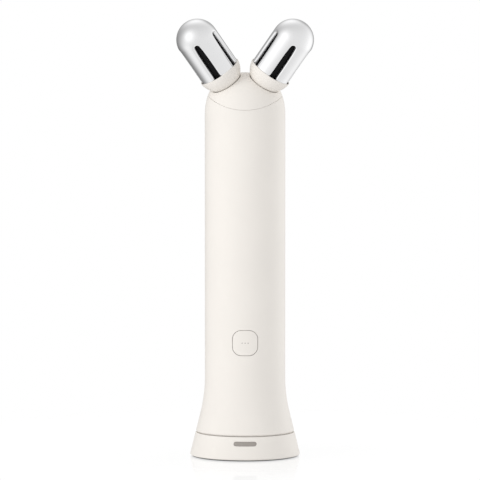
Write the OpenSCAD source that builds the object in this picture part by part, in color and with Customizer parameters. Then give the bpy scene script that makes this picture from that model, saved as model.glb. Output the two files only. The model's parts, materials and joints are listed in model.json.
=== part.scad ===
// A facial toning device standing on its charging dock. The handle holds the battery, the
// circuit boards and a power button, and carries two free-turning chrome rollers set in a V.
// Everything is in millimetres. The floor is z = 0, the handle's axis is Z and the button
// faces -Y. Distances called "depth" are measured from the axis towards the front.

/* [Handle outside] */
// Diameter of the straight grip
body_d = 38; // [36:0.5:41]
// Thickness of the handle's wall
body_wall = 2.2; // [1.8:0.1:2.6]
// Height of the shoulder, where the grip ends and the dome begins
shoulder_z = 161; // [156:1:170]
// Height of the dome above the shoulder
dome_h = 20.8; // [19:0.2:23]
// Exponent of the dome's superellipse, where 2 is an ellipse and more is squarer
dome_power = 2.4; // [2.1:0.1:2.8]
// Slope of the flared foot against the vertical, in degrees
flare_angle = 14; // [11:0.5:16]
// Radius of the blend between the grip and the flared foot
flare_blend_r = 70; // [50:5:90]

/* [Head cap] */
// Height of the cap's seam above the shoulder, at the front
seam_rise = 4.1; // [3:0.1:6]
// Radius of the curve that the seam follows, seen from the front
seam_r = 30; // [26:1:40]
// Width of the gap along the cap's seam
seam_gap = 0.15; // [0.1:0.05:0.3]
// Radial clearance between the cap's skirt and the handle
skirt_fit = 0.2; // [0.1:0.05:0.3]
// Thickness of the cap's skirt
skirt_t = 1.6; // [1.4:0.1:2]
// Length of the skirt below the shoulder
skirt_drop = 6; // [5:0.5:8]
// Distance of the cap's seal below the shoulder
cap_seal_drop = 2.5; // [2:0.1:3.5]
// Thickness of the cap behind each socket
socket_wall = 1.6; // [1.2:0.1:2]
// Diameter of the posts that the cap is screwed by
cap_post_d = 5.2; // [4.6:0.1:5.6]
// Radius of the circle of cap screws
cap_screw_r = 11.5; // [11:0.1:12]

/* [Rollers] */
// Angle of each roller's axis away from the vertical, sideways
v_half_angle = 33.5; // [31:0.5:36]
// Angle by which both rollers lean forward
lean = 12; // [8:0.5:16]
// Depth below the dome's top at which the two axes would meet
head_sink = 17.1; // [16.4:0.1:18]
// Distance by which that point lies in front of the handle's axis
head_forward = 3.5; // [2.5:0.1:3.6]
// Diameter of the chrome electrode
electrode_d = 19.9; // [18.8:0.1:20.4]
// Thickness of the electrode's wall
electrode_wall = 2.3; // [1.9:0.1:2.5]
// Distance along the axis from where the axes meet to the cup's rim
rim_a = 22.9; // [22.6:0.1:24]
// Length of the electrode's straight part above the rim
electrode_straight = 17.7; // [15:0.1:20]
// Number of slots around each electrode
slot_count = 5; // [4:1:8]
// Width of each slot
slot_w = 2.7; // [2:0.05:3.2]
// Distance from the start of the electrode's dome down to the slots' tips
slot_top_gap = 0.4; // [0.4:0.1:4]
// Angle by which the front slot is turned outward
slot_turn = 6; // [0:1:30]
// Thickness of the cup's rim around the electrode
cup_rim = 0.5; // [0.4:0.05:0.8]
// Gap between the cup and the socket that it turns in
cup_gap = 0.35; // [0.3:0.05:0.5]
// Depth by which the electrode sits in the cup
electrode_seat = 1.2; // [1:0.1:1.5]
// Length of the electrode's narrower spigot below its seat
spigot_l = 2.4; // [1.8:0.1:2.8]
// Gap between the electrode and the core inside it
core_gap = 0.13; // [0.1:0.01:0.2]
// Diameter of the axle that each roller turns on
axle_d = 4; // [3.6:0.1:4.4]
// Radial running clearance between the axle and its bushes
axle_fit = 0.05; // [0.02:0.01:0.08]
// Radial clearance between the axle and the core between the bushes
axle_clear = 0.4; // [0.3:0.05:0.6]
// Wall of each bush
bush_wall = 1.4; // [1.1:0.1:1.6]
// Length of each bush
bush_l = 4; // [3:0.1:4.4]
// Thickness of the retaining clip
clip_t = 0.6; // [0.5:0.05:0.8]
// Radial width of the retaining clip outside the axle
clip_w = 1.3; // [1:0.1:1.6]
// End float between the clip and the upper bush
clip_float = 0.2; // [0.1:0.05:0.3]
// Diameter of the seal around each axle
shaft_seal_d = 6.4; // [6.2:0.1:7]

/* [Button] */
// Width and height of the power button
button_w = 11.8; // [11:0.1:13]
// Corner radius of the power button
button_corner_r = 4.1; // [3:0.1:5]
// Height of the button's centre
button_z = 55.3; // [52:0.1:57]
// Gap around the button
button_gap = 0.17; // [0.12:0.01:0.25]
// How far the button can be pressed
button_travel = 0.5; // [0.3:0.05:0.6]
// Width of the flange that keeps the button in
flange_w = 1.2; // [0.9:0.1:1.4]
// Thickness of that flange
flange_t = 0.8; // [0.6:0.05:1]
// Thickness of the silicone return pad
pad_t = 0.5; // [0.4:0.05:0.6]
// Width of the return pad's ring
pad_w = 1.6; // [1.2:0.1:1.8]
// Thickness of the frame behind the button
frame_t = 1.8; // [1.7:0.05:2]
// Diameter of the three indicator dots
dot_d = 0.5; // [0.4:0.05:0.8]
// Spacing of the three indicator dots
dot_pitch = 1.4; // [1.2:0.02:1.6]
// Width and height of the tact switch
switch_w = 5; // [4.4:0.1:5.4]
// Thickness of the tact switch
switch_h = 1.65; // [1.55:0.05:1.7]
// Distance of the switch below the button's centre
switch_drop = 3.6; // [3.5:0.05:3.8]
// Diameter of the switch's plunger
plunger_d = 2.4; // [1.8:0.1:2.8]
// Radial running clearance around the switch's plunger
plunger_fit = 0.05; // [0.03:0.01:0.08]

/* [Inside the handle] */
// Thickness of the main circuit board
board_t = 1.6; // [1:0.1:1.6]
// Height of the main circuit board's lower edge
board_bottom_z = 24.5; // [24:0.5:26]
// Clearance between the chassis and the handle's wall
chassis_gap = 0.4; // [0.3:0.05:0.6]
// Thickness of the chassis wall
chassis_wall = 1.6; // [1.2:0.1:1.8]
// Distance of the chassis top below the shoulder
chassis_drop = 10; // [9:0.5:11]
// Thickness of the chassis's top plate and of its shelves
plate_t = 3; // [2.4:0.1:3.2]
// Height of the chassis's foot ring
foot_ring_h = 4; // [3.4:0.1:4.4]
// Radial width of the chassis's foot ring
foot_ring_w = 5.8; // [5.4:0.1:6]
// Height of the middle of the lowest shelf
low_shelf_z = 31; // [30:0.5:33]
// Diameter of the battery cell
cell_d = 18; // [16:0.5:18.5]
// Length of the battery cell
cell_l = 65; // [60:1:66]
// Space between the shelf above the battery and the chassis's top plate
shelf_space = 8.5; // [8:0.5:12]
// Thickness of the foam pad at each end of the battery
foam_t = 1.2; // [0.8:0.1:1.6]
// Thickness of the battery's contact strips
strip_t = 0.3; // [0.2:0.05:0.4]
// Width of the battery's contact strips
strip_w = 5; // [4:0.5:6]
// Space for components between the board and the battery
board_space = 4; // [3:0.1:4.2]
// Thickness of the bracket plate that carries the axles
bracket_t = 3; // [2.6:0.1:3.4]
// Diameter of the bracket's bosses that hold the axles
axle_boss_d = 8.4; // [7.6:0.1:8.6]
// Diameter of the bracket's middle post
bracket_post_d = 12; // [10:0.5:13]
// Diameter of the wires to the electrodes
wire_d = 1; // [0.8:0.1:1.2]

/* [Handle bottom] */
// Thickness of the bottom cap above the dock's boss
bottom_t = 2.8; // [2.6:0.1:3.4]
// How far the bottom cap lies above the handle's lower edge
bottom_inset = 0.4; // [0.2:0.1:0.6]
// Clearance between the bottom cap and the handle's wall
bottom_fit = 0.15; // [0.1:0.05:0.2]
// Section diameter of both seal rings
seal_d = 1; // [0.8:0.1:1.1]
// Diameter of each charging contact
contact_d = 3.2; // [2.8:0.1:3.6]
// Depth of the charging contacts in their holes
contact_recess = 0.5; // [0.4:0.05:0.6]
// Thickness of the charging board
charge_board_t = 1; // [0.8:0.1:1.2]
// Radius of the circle of bottom screws
bottom_screw_r = 12.9; // [12.8:0.05:13]

/* [Dock] */
// Diameter of the flare at the floor, before its edge is rounded
dock_d = 52.5; // [51:0.5:55]
// Height of the dock's deck
dock_h = 11.3; // [11.1:0.1:12.5]
// Thickness of the dock's side wall
dock_wall = 2.2; // [1.8:0.1:2.4]
// Thickness of the deck and of the boss's top
deck_t = 1.8; // [1.4:0.1:2]
// Rounding of the dock's lower edge
dock_edge_r = 0.6; // [0.4:0.1:2]
// Gap between the dock and the handle
dock_gap = 0.8; // [0.5:0.1:1.1]
// Diameter of the boss that the handle stands on
boss_d = 30; // [29.8:0.1:31]
// Height of that boss above the deck
boss_h = 3.2; // [2.8:0.1:3.6]
// Distance from the axis to the flat that keys the handle on the boss
boss_flat = 13.6; // [13:0.1:14]
// Radial clearance around the boss
boss_fit = 0.3; // [0.2:0.05:0.4]
// Extra width of the dock's rim around the base plate
rim_w = 1.2; // [0.9:0.1:1.5]
// Thickness of the base plate
base_t = 2; // [1.8:0.1:2.2]
// Clearance around the base plate
base_fit = 0.15; // [0.1:0.05:0.2]
// How far the rubber foot stands out below the base
foot_h = 0.5; // [0.4:0.1:0.8]
// Depth of the groove that holds the rubber foot
foot_groove = 1; // [0.6:0.1:1.2]
// Width of the base plate left outside the rubber foot
foot_margin = 2.1; // [1.5:0.1:3]
// Width of the rubber foot's ring
foot_w = 3; // [2:0.1:3.4]

/* [Inside the dock] */
// Thickness of the dock's circuit board
dock_board_t = 1; // [0.8:0.1:1.2]
// Gap between the base plate and the dock's board
standoff_h = 1; // [0.8:0.1:1.2]
// Width of the board's front and rear tongues
tongue_w = 11; // [10:0.2:12]
// Gap between the ballast ring and the dock's wall
ballast_fit = 0.8; // [0.5:0.1:1.2]
// Radial width of the ballast ring
ballast_w = 4.2; // [3.4:0.1:4.4]
// Gap between the ballast ring and the dock's board
ballast_clear = 1; // [0.6:0.1:1.6]
// Height of the ballast ring
ballast_h = 4.6; // [3:0.1:5]
// Width of the ballast ring's front and rear openings
ballast_gap = 17; // [16:0.5:20]
// Width of the light bar
light_w = 10.7; // [8:0.1:12]
// Height of the light bar
light_h = 1.95; // [1.5:0.05:2.4]
// Height of the light bar's middle
light_z = 8.1; // [7.4:0.05:8.1]
// Clearance around the light bar
light_fit = 0.08; // [0.05:0.01:0.15]
// How far the light bar's face lies below the dock's surface
light_recess = 0.1; // [0.05:0.05:0.3]
// Thickness of the light bar's flange behind the wall
light_flange_t = 1.2; // [1:0.1:1.4]
// Width of the USB-C socket
usb_w = 8.94; // [8.9:0.02:9]
// Height of the USB-C socket
usb_h = 3.16; // [3.1:0.02:3.2]
// Length of the USB-C socket
usb_l = 7.3; // [6.5:0.1:7.6]
// Thickness of the socket's metal shell
usb_wall = 0.3; // [0.2:0.05:0.4]
// Clearance around the socket in the dock's wall
usb_fit = 0.15; // [0.1:0.05:0.25]
// How far the socket's mouth lies below the dock's surface
usb_recess = 0.7; // [0.6:0.1:1]
// Spacing of the two charging pins
pin_pitch = 8; // [7:0.1:9]
// Diameter of each pin's tip
pin_d = 1.8; // [1.4:0.1:2]
// Diameter of each pin's barrel
pin_barrel_d = 2.8; // [2.4:0.1:3]
// Radius of the circle of dock screws
dock_screw_r = 11.4; // [11:0.1:11.8]
// Diameter of the dock's screw posts
dock_post_d = 4.6; // [4.2:0.1:4.8]

/* [Screws] */
// Diameter of every screw's shank
screw_d = 2; // [1.8:0.1:2.2]
// Diameter of every screw's head
screw_head_d = 3.8; // [3.4:0.1:4]
// Height of every screw's head
screw_head_h = 1.2; // [1:0.1:1.3]
// Depth of the cross recess in every head
screw_drive = 0.6; // [0.4:0.1:0.7]
// Length of the cap, bottom and dock screws below their heads
screw_l = 9; // [8:0.5:10]
// Length of the main board's screws below their heads
board_screw_l = 5; // [4:0.5:6]

/* [Hidden] */
$fn = 96;
// A cut reaches this far past the face that it opens
cut = 1;
// Shortest distance at which two outline points still count as two
tiny = 0.01;
// Rings along the flare's blend, and along the dome
blend_steps = 12;
dome_steps = 20;
// Steps around the dock's rounded lower edge
edge_steps = 8;
// Close and wide clearance between fixed pieces
play = 0.1;
slack = 0.3;

CREAM = "#ece7e0";
CHROME = "#d5d6d8";
BLACK = "#151515";
STEEL = "#a9adb2";
GOLD = "#d9b45b";
RUBBER = "#55565a";
BOARD = "#1d5b3b";
CHIP = "#2b2c30";
PLASTIC = "#b9babd";

// Outside of the handle and the dock
body_r = body_d / 2;
inner_r = body_r - body_wall;
floor_r = dock_d / 2;
blend_low_z = (floor_r - body_r - flare_blend_r * (1 - cos(flare_angle))) / tan(flare_angle);
blend_top_z = blend_low_z + flare_blend_r * sin(flare_angle);
dome_top_z = shoulder_z + dome_h;

// Heights in the dock, from the floor up
base_bottom_z = foot_h;
base_top_z = base_bottom_z + base_t;
dock_board_z = base_top_z + standoff_h;
dock_board_top_z = dock_board_z + dock_board_t;
deck_under_z = dock_h - deck_t;
seat_z = dock_h + boss_h;
usb_z = dock_board_top_z + usb_h / 2;
boss_r = boss_d / 2;
edge_mid_z = base_bottom_z + dock_edge_r;
edge_mid_r = floor_r - edge_mid_z * tan(flare_angle) - dock_edge_r / cos(flare_angle);
foot_fit = 0.05;
foot_r = outline_r(base_bottom_z) - dock_wall - rim_w - base_fit - foot_margin;
ballast_r = outline_r(base_top_z + ballast_h) - dock_wall - ballast_fit;
dock_board_r = ballast_r - ballast_w - ballast_clear;

// Heights in the handle, from its lower edge up
rim_z = dock_h + dock_gap;
bottom_z = rim_z + bottom_inset;
bottom_top_z = seat_z + bottom_t;
bottom_seal_z = (bottom_z + bottom_top_z) / 2;
bottom_seal_r = outline_r(bottom_seal_z) - body_wall - bottom_fit - seal_d / 2;
chassis_top_z = shoulder_z - chassis_drop;
bracket_top_z = chassis_top_z + bracket_t;
skirt_z = shoulder_z - skirt_drop;
cap_seal_z = shoulder_z - cap_seal_drop;
cap_seal_r = inner_r - skirt_fit / 2 - seal_d / 2;
seam_z = shoulder_z + seam_rise;
axes_z = dome_top_z - head_sink;

// Depths behind the button, from the handle's wall inward
flange_half = button_w / 2 + flange_w;
flange_front = sqrt(pow(inner_r, 2) - pow(flange_half, 2)) - play;
flange_back = flange_front - flange_t;
press_spare = 0.1;
frame_inset = 0.2;
stem_wall = 0.4;
frame_front = flange_back - pad_t - button_travel - press_spare;
board_front = frame_front - frame_t;
board_back = board_front - board_t;
switch_front = board_front + switch_h;
plunger_out = button_travel + press_spare;
plunger_in = button_travel + press_spare;
stem_end = switch_front + plunger_out;
switch_z = button_z - switch_drop;
button_recess = 0.05;
led_side = 1;
led_w = 2 * (dot_pitch + led_side);
led_h = 1.2;
led_t = 0.7;
pocket_gap = 0.2;

// Chassis and battery
chassis_r = inner_r - chassis_gap;
chassis_inner_r = chassis_r - chassis_wall;
board_gap = 0.6;
board_half_w = sqrt(pow(chassis_r, 2) - pow(board_front, 2)) - 2 * play;
board_top_z = chassis_top_z - plate_t - board_gap;
cell_r = cell_d / 2;
cell_y = -board_back + board_space + cell_r;
top_shelf_z = chassis_top_z - 2 * plate_t - shelf_space;
cell_top_z = top_shelf_z - foam_t - strip_t;
cell_z = cell_top_z - cell_l;
battery_z = cell_z - strip_t - foam_t;
screw_angles = [90, 210, 330];
cradle_t = 2.4;
cradle_gap = 0.1;
board_screw_x = 6.5;
notch_w = 15;
notch_reach = 2;
notch_depth = board_back - notch_reach;
pilot_fit = 0.05;
pilot_d = screw_d + 2 * pilot_fit;
screw_clear = 0.15;
bracket_fit = 0.4;
// How much longer the cap screws are, and how far a pilot hole reaches past its screw
cap_screw_extra = 2.5;
screw_spare = 0.5;
cap_screw_l = screw_l + cap_screw_extra;
cap_pilot_top_z = chassis_top_z - plate_t + cap_screw_l + screw_spare;
// Thickness of a post past its pilot hole, and width of the rib that holds it
post_end = 1.5;
cap_rib_w = 3;
// The cross recess leaves this much of the head at each end of its arms
drive_margin = 0.7;
drive_w = 0.6;
foam_inset = 1;
ribbon_w = 6;
ribbon_lap = 3;
contact_tail = 0.4;

// Components on the main board, spaced along the battery, and on the dock's board
part_start = 6;
part_pitch = 14;
chip_w = 7;
chip_t = 1;
coil_w = 9;
coil_t = 2.6;
capacitor_x = 4;
capacitor_w = 4;
capacitor_l = 6;
capacitor_t = 2;
low_part_x = 5;
low_part_w = 3;
dock_part_y = 6.2;
dock_chip_w = 5;
dock_coil_w = 4;
dock_coil_t = 1.8;
dock_capacitor_x = 10;
dock_capacitor_w = 2.4;
dock_capacitor_t = 1.4;
dock_led_pitch = 2.4;
dock_led_w = 1.6;
dock_led_l = 0.8;

// Where the electrodes' wires run behind the main board
wire_x = 6;
wire_lap = wire_d / 5;
wire_rise = 1.5;
wire_end = 5;

// Stations along a roller's axis, from where the two axes meet
electrode_r = electrode_d / 2;
electrode_inner_r = electrode_r - electrode_wall;
core_r = electrode_inner_r - core_gap;
cup_r = electrode_r + cup_rim;
socket_r = cup_r + cup_gap;
backing_r = socket_r + socket_wall;
dome_a = rim_a + electrode_straight;
electrode_a = rim_a - electrode_seat;
spigot_a = electrode_a - spigot_l;
spigot_r = (electrode_r + electrode_inner_r) / 2;
seat_fit = 0.03;
core_drop = 0.8;
core_a = spigot_a - core_drop;
axle_r = axle_d / 2;
bush_r = axle_r + axle_fit + bush_wall;
bush_inset = 1.2;
low_bush_a = rim_a - cup_r + bush_inset;
top_bush_drop = 4.6;
top_bush_a = dome_a - bush_l - top_bush_drop;
clip_a = top_bush_a + bush_l + clip_float;
clip_groove = 0.5;
clip_opening = 2;
clip_clear = 0.4;
axle_tip = 0.8;
axle_end_a = clip_a + clip_t + axle_tip;
axle_start_a = 3.6;
slot_start = 0.9;
slot_low_a = spigot_a + slot_start;
slot_high_a = dome_a - slot_top_gap - slot_w / 2;
seal_low_a = rim_a - backing_r + 2 * play;
seal_high_a = rim_a - socket_r - play;
terminal_t = 0.5;
terminal_step = 0.6;
terminal_tab = 1;
boss_end_a = rim_a - backing_r - terminal_t - 2 * play;
terminal_r = axle_boss_d / 2 - terminal_step;
terminal_reach = axle_boss_d / 2 + terminal_tab;

// Light bar and USB socket in the dock's wall
light_flange_side = 1.2;
light_rim = 1;
light_flange_w = light_w + 2 * light_flange_side;
light_flange_top = deck_under_z - slack;
light_flange_front = sqrt(pow(outline_r(light_flange_top) - dock_wall, 2)
    - pow(light_flange_w / 2, 2)) - slack;
light_flange_back = light_flange_front - light_flange_t;
light_led_h = 0.8;
usb_mouth = sqrt(pow(outline_r(usb_z + usb_h / 2), 2) - pow(usb_w / 2, 2)) - usb_recess
    + 2 * play;
usb_back = usb_mouth - usb_l;
rear_tongue_drop = 2.6;
rear_tongue = usb_mouth - rear_tongue_drop;
usb_tongue_w = 6.7;
usb_tongue_h = 0.7;
usb_block_l = 1.6;
usb_tongue_recess = 0.8;

// ---------------------------------------------------------------- outline

// Radius of the outside at height z: a cone from the floor, a blend, then the straight grip
function outline_r(z) =
    z >= blend_top_z ? body_r :
    z >= blend_low_z ?
        body_r + flare_blend_r - sqrt(pow(flare_blend_r, 2) - pow(blend_top_z - z, 2)) :
    floor_r - z * tan(flare_angle);

// Heights of the blend's rings that lie between two heights
function blend_rings(z0, z1) = [for (i = [0 : blend_steps])
    let (z = blend_low_z + (blend_top_z - blend_low_z) * i / blend_steps)
    if (z > z0 + tiny && z < z1 - tiny) z];

function side_points(z0, z1, inset) =
    [for (z = concat([z0], blend_rings(z0, z1), [z1])) [outline_r(z) - inset, z]];

// Superellipse of the dome, from just above the shoulder to the top
function dome_points(inset) = [for (i = [1 : dome_steps])
    let (t = 90 * i / dome_steps)
    [(body_r - inset) * pow(cos(t), 2 / dome_power),
     shoulder_z + (dome_h - inset) * pow(sin(t), 2 / dome_power)]];

// Solid of the outline between two heights, made smaller by the inset
module side_solid(z0, z1, inset = 0) {
    rotate_extrude()
        polygon(concat([[0, z0]], side_points(z0, z1, inset), [[0, z1]]));
}

// Solid of the handle from z0 up to the dome's top, made smaller by the inset
module handle_solid(z0, inset = 0) {
    rotate_extrude()
        polygon(concat([[0, z0]], side_points(z0, shoulder_z, inset), dome_points(inset)));
}

// The space above the cap's seam, which is a cylinder lying along Y
module seam_space(extra = 0) {
    translate([0, 0, seam_z + seam_r])
        rotate([90, 0, 0])
            cylinder(r = seam_r + extra, h = 4 * body_r, center = true);
}

// ---------------------------------------------------------------- helpers

module at_z(z) {
    translate([0, 0, z])
        children();
}

module ring(r_out, r_in, h) {
    difference() {
        cylinder(r = r_out, h = h);
        at_z(-cut)
            cylinder(r = r_in, h = h + 2 * cut);
    }
}

// Extrudes a drawing from depth d0 to depth d1; the drawing's y is the height
module facing_front(d0, d1) {
    rotate([90, 0, 0])
        at_z(d0)
            linear_extrude(d1 - d0)
                children();
}

// The same towards the back
module facing_back(d0, d1) {
    rotate([90, 0, 180])
        at_z(d0)
            linear_extrude(d1 - d0)
                children();
}

module rounded_square(w, r) {
    square([w - 2 * r, w], center = true);
    square([w, w - 2 * r], center = true);
    for (x = [-1, 1], y = [-1, 1])
        translate([x * (w / 2 - r), y * (w / 2 - r)])
            circle(r);
}

module stadium(w, h) {
    square([w - h, h], center = true);
    for (x = [-1, 1])
        translate([x * (w - h) / 2, 0])
            circle(h / 2);
}

// A disc with one flat at the back, which fits the handle to the dock one way round
module keyed_disc(r, flat, z0, z1) {
    difference() {
        at_z(z0)
            cylinder(r = r, h = z1 - z0);
        translate([-r, flat, z0 - cut])
            cube([2 * r, r, z1 - z0 + 2 * cut]);
    }
}

// Repeats something at the screw angles on a circle
module on_circle(r) {
    for (angle = screw_angles)
        rotate(angle)
            translate([r, 0, 0])
                children();
}

// A screw whose head lies on z = 0 and whose shank points up
module screw(l) {
    difference() {
        union() {
            cylinder(d = screw_d, h = l);
            at_z(-screw_head_h)
                cylinder(d = screw_head_d, h = screw_head_h);
        }
        for (turn = [0, 90])
            rotate(turn)
                translate([drive_margin - screw_head_d / 2, -drive_w / 2, -screw_head_h - cut])
                    cube([screw_head_d - 2 * drive_margin, drive_w, screw_drive + cut]);
    }
}

// Places something on a roller's axis, where side is -1 for the left one and 1 for the right
module on_axis(side) {
    translate([0, -head_forward, axes_z])
        rotate([lean, 0, 0])
            rotate([0, side * v_half_angle, 0])
                children();
}

// Profile of a straight stretch from a0 to the dome's start, with a round end
module capsule_profile(r, a0) {
    translate([0, a0])
        square([r, dome_a - a0]);
    translate([0, dome_a])
        intersection() {
            circle(r);
            square(r);
        }
}

// ---------------------------------------------------------------- dock

module dock_outside() {
    rotate_extrude()
        polygon(concat(
            [[0, base_bottom_z]],
            [for (i = [0 : edge_steps])
                let (t = -90 + (90 + flare_angle) * i / edge_steps)
                [edge_mid_r + dock_edge_r * cos(t), edge_mid_z + dock_edge_r * sin(t)]],
            [[outline_r(dock_h), dock_h], [0, dock_h]]));
}

module dock_shell() {
    color(CREAM)
    difference() {
        union() {
            difference() {
                union() {
                    dock_outside();
                    keyed_disc(boss_r, boss_flat, deck_under_z, seat_z);
                }
                side_solid(base_top_z, deck_under_z, dock_wall);
                side_solid(base_bottom_z - cut, base_top_z + cut, dock_wall + rim_w);
                keyed_disc(boss_r - deck_t, boss_flat - deck_t, deck_under_z - cut,
                    seat_z - deck_t);
            }
            on_circle(dock_screw_r)
                at_z(dock_board_top_z)
                    cylinder(d = dock_post_d, h = seat_z - deck_t / 2 - dock_board_top_z);
        }
        on_circle(dock_screw_r)
            at_z(dock_board_top_z - cut)
                cylinder(d = pilot_d, h = screw_l);
        for (side = [-1, 1])
            translate([side * pin_pitch / 2, 0, deck_under_z])
                cylinder(d = pin_d + 2 * play, h = seat_z);
        facing_front(light_flange_back, floor_r + cut)
            translate([0, light_z])
                stadium(light_w + 2 * light_fit, light_h + 2 * light_fit);
        facing_back(usb_back, floor_r + cut)
            translate([0, usb_z])
                stadium(usb_w + 2 * usb_fit, usb_h + 2 * usb_fit);
    }
}

module dock_base_plate() {
    color(PLASTIC)
    difference() {
        union() {
            side_solid(base_bottom_z, base_top_z, dock_wall + rim_w + base_fit);
            on_circle(dock_screw_r)
                at_z(base_top_z - tiny)
                    cylinder(d = dock_post_d, h = standoff_h + tiny);
        }
        on_circle(dock_screw_r)
            at_z(0) {
                cylinder(d = screw_d + 2 * screw_clear, h = dock_board_top_z);
                cylinder(d = screw_head_d + 2 * screw_clear, h = base_bottom_z + screw_head_h + play);
            }
        ring(foot_r + foot_fit, foot_r - foot_w - foot_fit, base_bottom_z + foot_groove);
    }
}

module dock_foot() {
    color(RUBBER)
        ring(foot_r, foot_r - foot_w, foot_h + foot_groove);
}

module dock_ballast() {
    color(STEEL)
    difference() {
        at_z(base_top_z)
            ring(ballast_r, ballast_r - ballast_w, ballast_h);
        translate([-ballast_gap / 2, -floor_r, base_top_z - cut])
            cube([ballast_gap, dock_d, ballast_h + 2 * cut]);
    }
}

module dock_board() {
    color(BOARD)
    difference() {
        at_z(dock_board_z)
            union() {
                cylinder(r = dock_board_r, h = dock_board_t);
                translate([-tongue_w / 2, -light_flange_front, 0])
                    cube([tongue_w, light_flange_front + rear_tongue, dock_board_t]);
            }
        on_circle(dock_screw_r)
            at_z(dock_board_z - cut)
                cylinder(d = screw_d + 2 * screw_clear, h = dock_board_t + 2 * cut);
    }
}

// A box that stands on the dock's board, given by its middle and its size
module on_dock_board(x, y, w, l, h) {
    translate([x - w / 2, y - l / 2, dock_board_top_z])
        cube([w, l, h]);
}

module dock_board_parts() {
    led_y = -(light_flange_front + light_flange_back) / 2;
    color(CHIP) {
        on_dock_board(0, dock_part_y, dock_chip_w, dock_chip_w, chip_t);
        on_dock_board(0, -dock_part_y, dock_coil_w, dock_coil_w, dock_coil_t);
        for (side = [-1, 1])
            on_dock_board(side * dock_capacitor_x, 0, dock_capacitor_w, dock_coil_w,
                dock_capacitor_t);
        for (i = [-1 : 1])
            on_dock_board(i * dock_led_pitch, led_y, dock_led_w, dock_led_l, light_led_h - play);
    }
}

module usb_socket() {
    color(STEEL)
    difference() {
        facing_back(usb_back, usb_mouth)
            translate([0, usb_z])
                stadium(usb_w, usb_h);
        facing_back(usb_back + usb_wall, usb_mouth + cut)
            translate([0, usb_z])
                stadium(usb_w - 2 * usb_wall, usb_h - 2 * usb_wall);
    }
}

module usb_tongue() {
    inner_back = usb_back + usb_wall;
    color(BLACK)
    union() {
        facing_back(inner_back, inner_back + usb_block_l)
            translate([0, usb_z])
                stadium(usb_tongue_w, usb_h - 2 * usb_wall);
        facing_back(inner_back, usb_mouth - usb_tongue_recess)
            translate([0, usb_z])
                square([usb_tongue_w, usb_tongue_h], center = true);
    }
}

module light_bar() {
    color("#9b958f")
    difference() {
        union() {
            intersection() {
                facing_front(light_flange_back, floor_r)
                    translate([0, light_z])
                        stadium(light_w, light_h);
                side_solid(dock_board_top_z, dock_h, light_recess);
            }
            facing_front(light_flange_back, light_flange_front)
                translate([-light_flange_w / 2, dock_board_top_z])
                    square([light_flange_w, light_flange_top - dock_board_top_z]);
        }
        facing_front(light_flange_back - cut, light_flange_front + cut)
            translate([light_rim - light_w / 2, dock_board_top_z - cut])
                square([light_w - 2 * light_rim, light_led_h + cut]);
    }
}

module charge_pins() {
    color(GOLD)
    for (side = [-1, 1])
        translate([side * pin_pitch / 2, 0, 0]) {
            at_z(dock_board_top_z)
                cylinder(d = pin_barrel_d, h = seat_z - deck_t - dock_board_top_z);
            at_z(dock_board_top_z)
                cylinder(d = pin_d, h = seat_z + contact_recess - play / 2 - dock_board_top_z);
        }
}

module dock_screws() {
    color(STEEL)
    on_circle(dock_screw_r)
        at_z(base_bottom_z + screw_head_h + play)
            screw(screw_l - screw_spare);
}

// ---------------------------------------------------------------- handle shells

module handle_shell() {
    color(CREAM)
    difference() {
        handle_solid(rim_z);
        handle_solid(rim_z - cut, body_wall);
        seam_space(seam_gap);
        facing_front(0, body_r + cut)
            translate([0, button_z])
                rounded_square(button_w + 2 * button_gap, button_corner_r + button_gap);
    }
}

module head_cap() {
    lining = body_wall + skirt_fit;
    color(CREAM)
    difference() {
        union() {
            difference() {
                union() {
                    intersection() {
                        handle_solid(skirt_z);
                        seam_space();
                    }
                    handle_solid(skirt_z, lining);
                }
                handle_solid(skirt_z - cut, lining + skirt_t);
            }
            intersection() {
                handle_solid(bracket_top_z, lining);
                union() {
                    for (side = [-1, 1])
                        on_axis(side)
                            at_z(rim_a)
                                sphere(backing_r);
                    on_circle(cap_screw_r) {
                        at_z(bracket_top_z)
                            cylinder(d = cap_post_d, h = cap_pilot_top_z + post_end - bracket_top_z);
                        translate([0, -cap_rib_w / 2, skirt_z])
                            cube([body_r, cap_rib_w, cap_pilot_top_z + post_end - skirt_z]);
                    }
                }
            }
        }
        for (side = [-1, 1])
            on_axis(side) {
                at_z(rim_a)
                    sphere(socket_r);
                at_z(boss_end_a)
                    cylinder(d = shaft_seal_d, h = rim_a - boss_end_a);
            }
        on_circle(cap_screw_r)
            at_z(bracket_top_z - cut)
                cylinder(d = pilot_d, h = cap_pilot_top_z - bracket_top_z + cut);
        at_z(cap_seal_z - seal_d / 2 - play)
            ring(body_r, cap_seal_r - seal_d / 2 - play / 2, seal_d + 2 * play);
    }
}

module cap_seal() {
    color(RUBBER)
        at_z(cap_seal_z)
            rotate_extrude()
                translate([cap_seal_r, 0])
                    circle(d = seal_d);
}

module cap_screws() {
    color(STEEL)
    on_circle(cap_screw_r)
        at_z(chassis_top_z - plate_t)
            screw(cap_screw_l);
}

module bottom_cap() {
    color(PLASTIC)
    difference() {
        side_solid(bottom_z, bottom_top_z, body_wall + bottom_fit);
        keyed_disc(boss_r + boss_fit, boss_flat + boss_fit, bottom_z - cut, seat_z);
        for (side = [-1, 1])
            translate([side * pin_pitch / 2, 0, bottom_z])
                cylinder(d = contact_d + play, h = bottom_top_z);
        on_circle(bottom_screw_r)
            at_z(seat_z - cut) {
                cylinder(d = screw_d + 2 * screw_clear, h = bottom_t + 2 * cut);
                cylinder(d = screw_head_d + 2 * screw_clear, h = screw_head_h + play + cut);
            }
        at_z(bottom_seal_z - seal_d / 2 - play)
            ring(floor_r, bottom_seal_r - seal_d / 2 - play / 2, seal_d + 2 * play);
    }
}

module bottom_seal() {
    color(RUBBER)
        at_z(bottom_seal_z)
            rotate_extrude()
                translate([bottom_seal_r, 0])
                    circle(d = seal_d);
}

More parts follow.
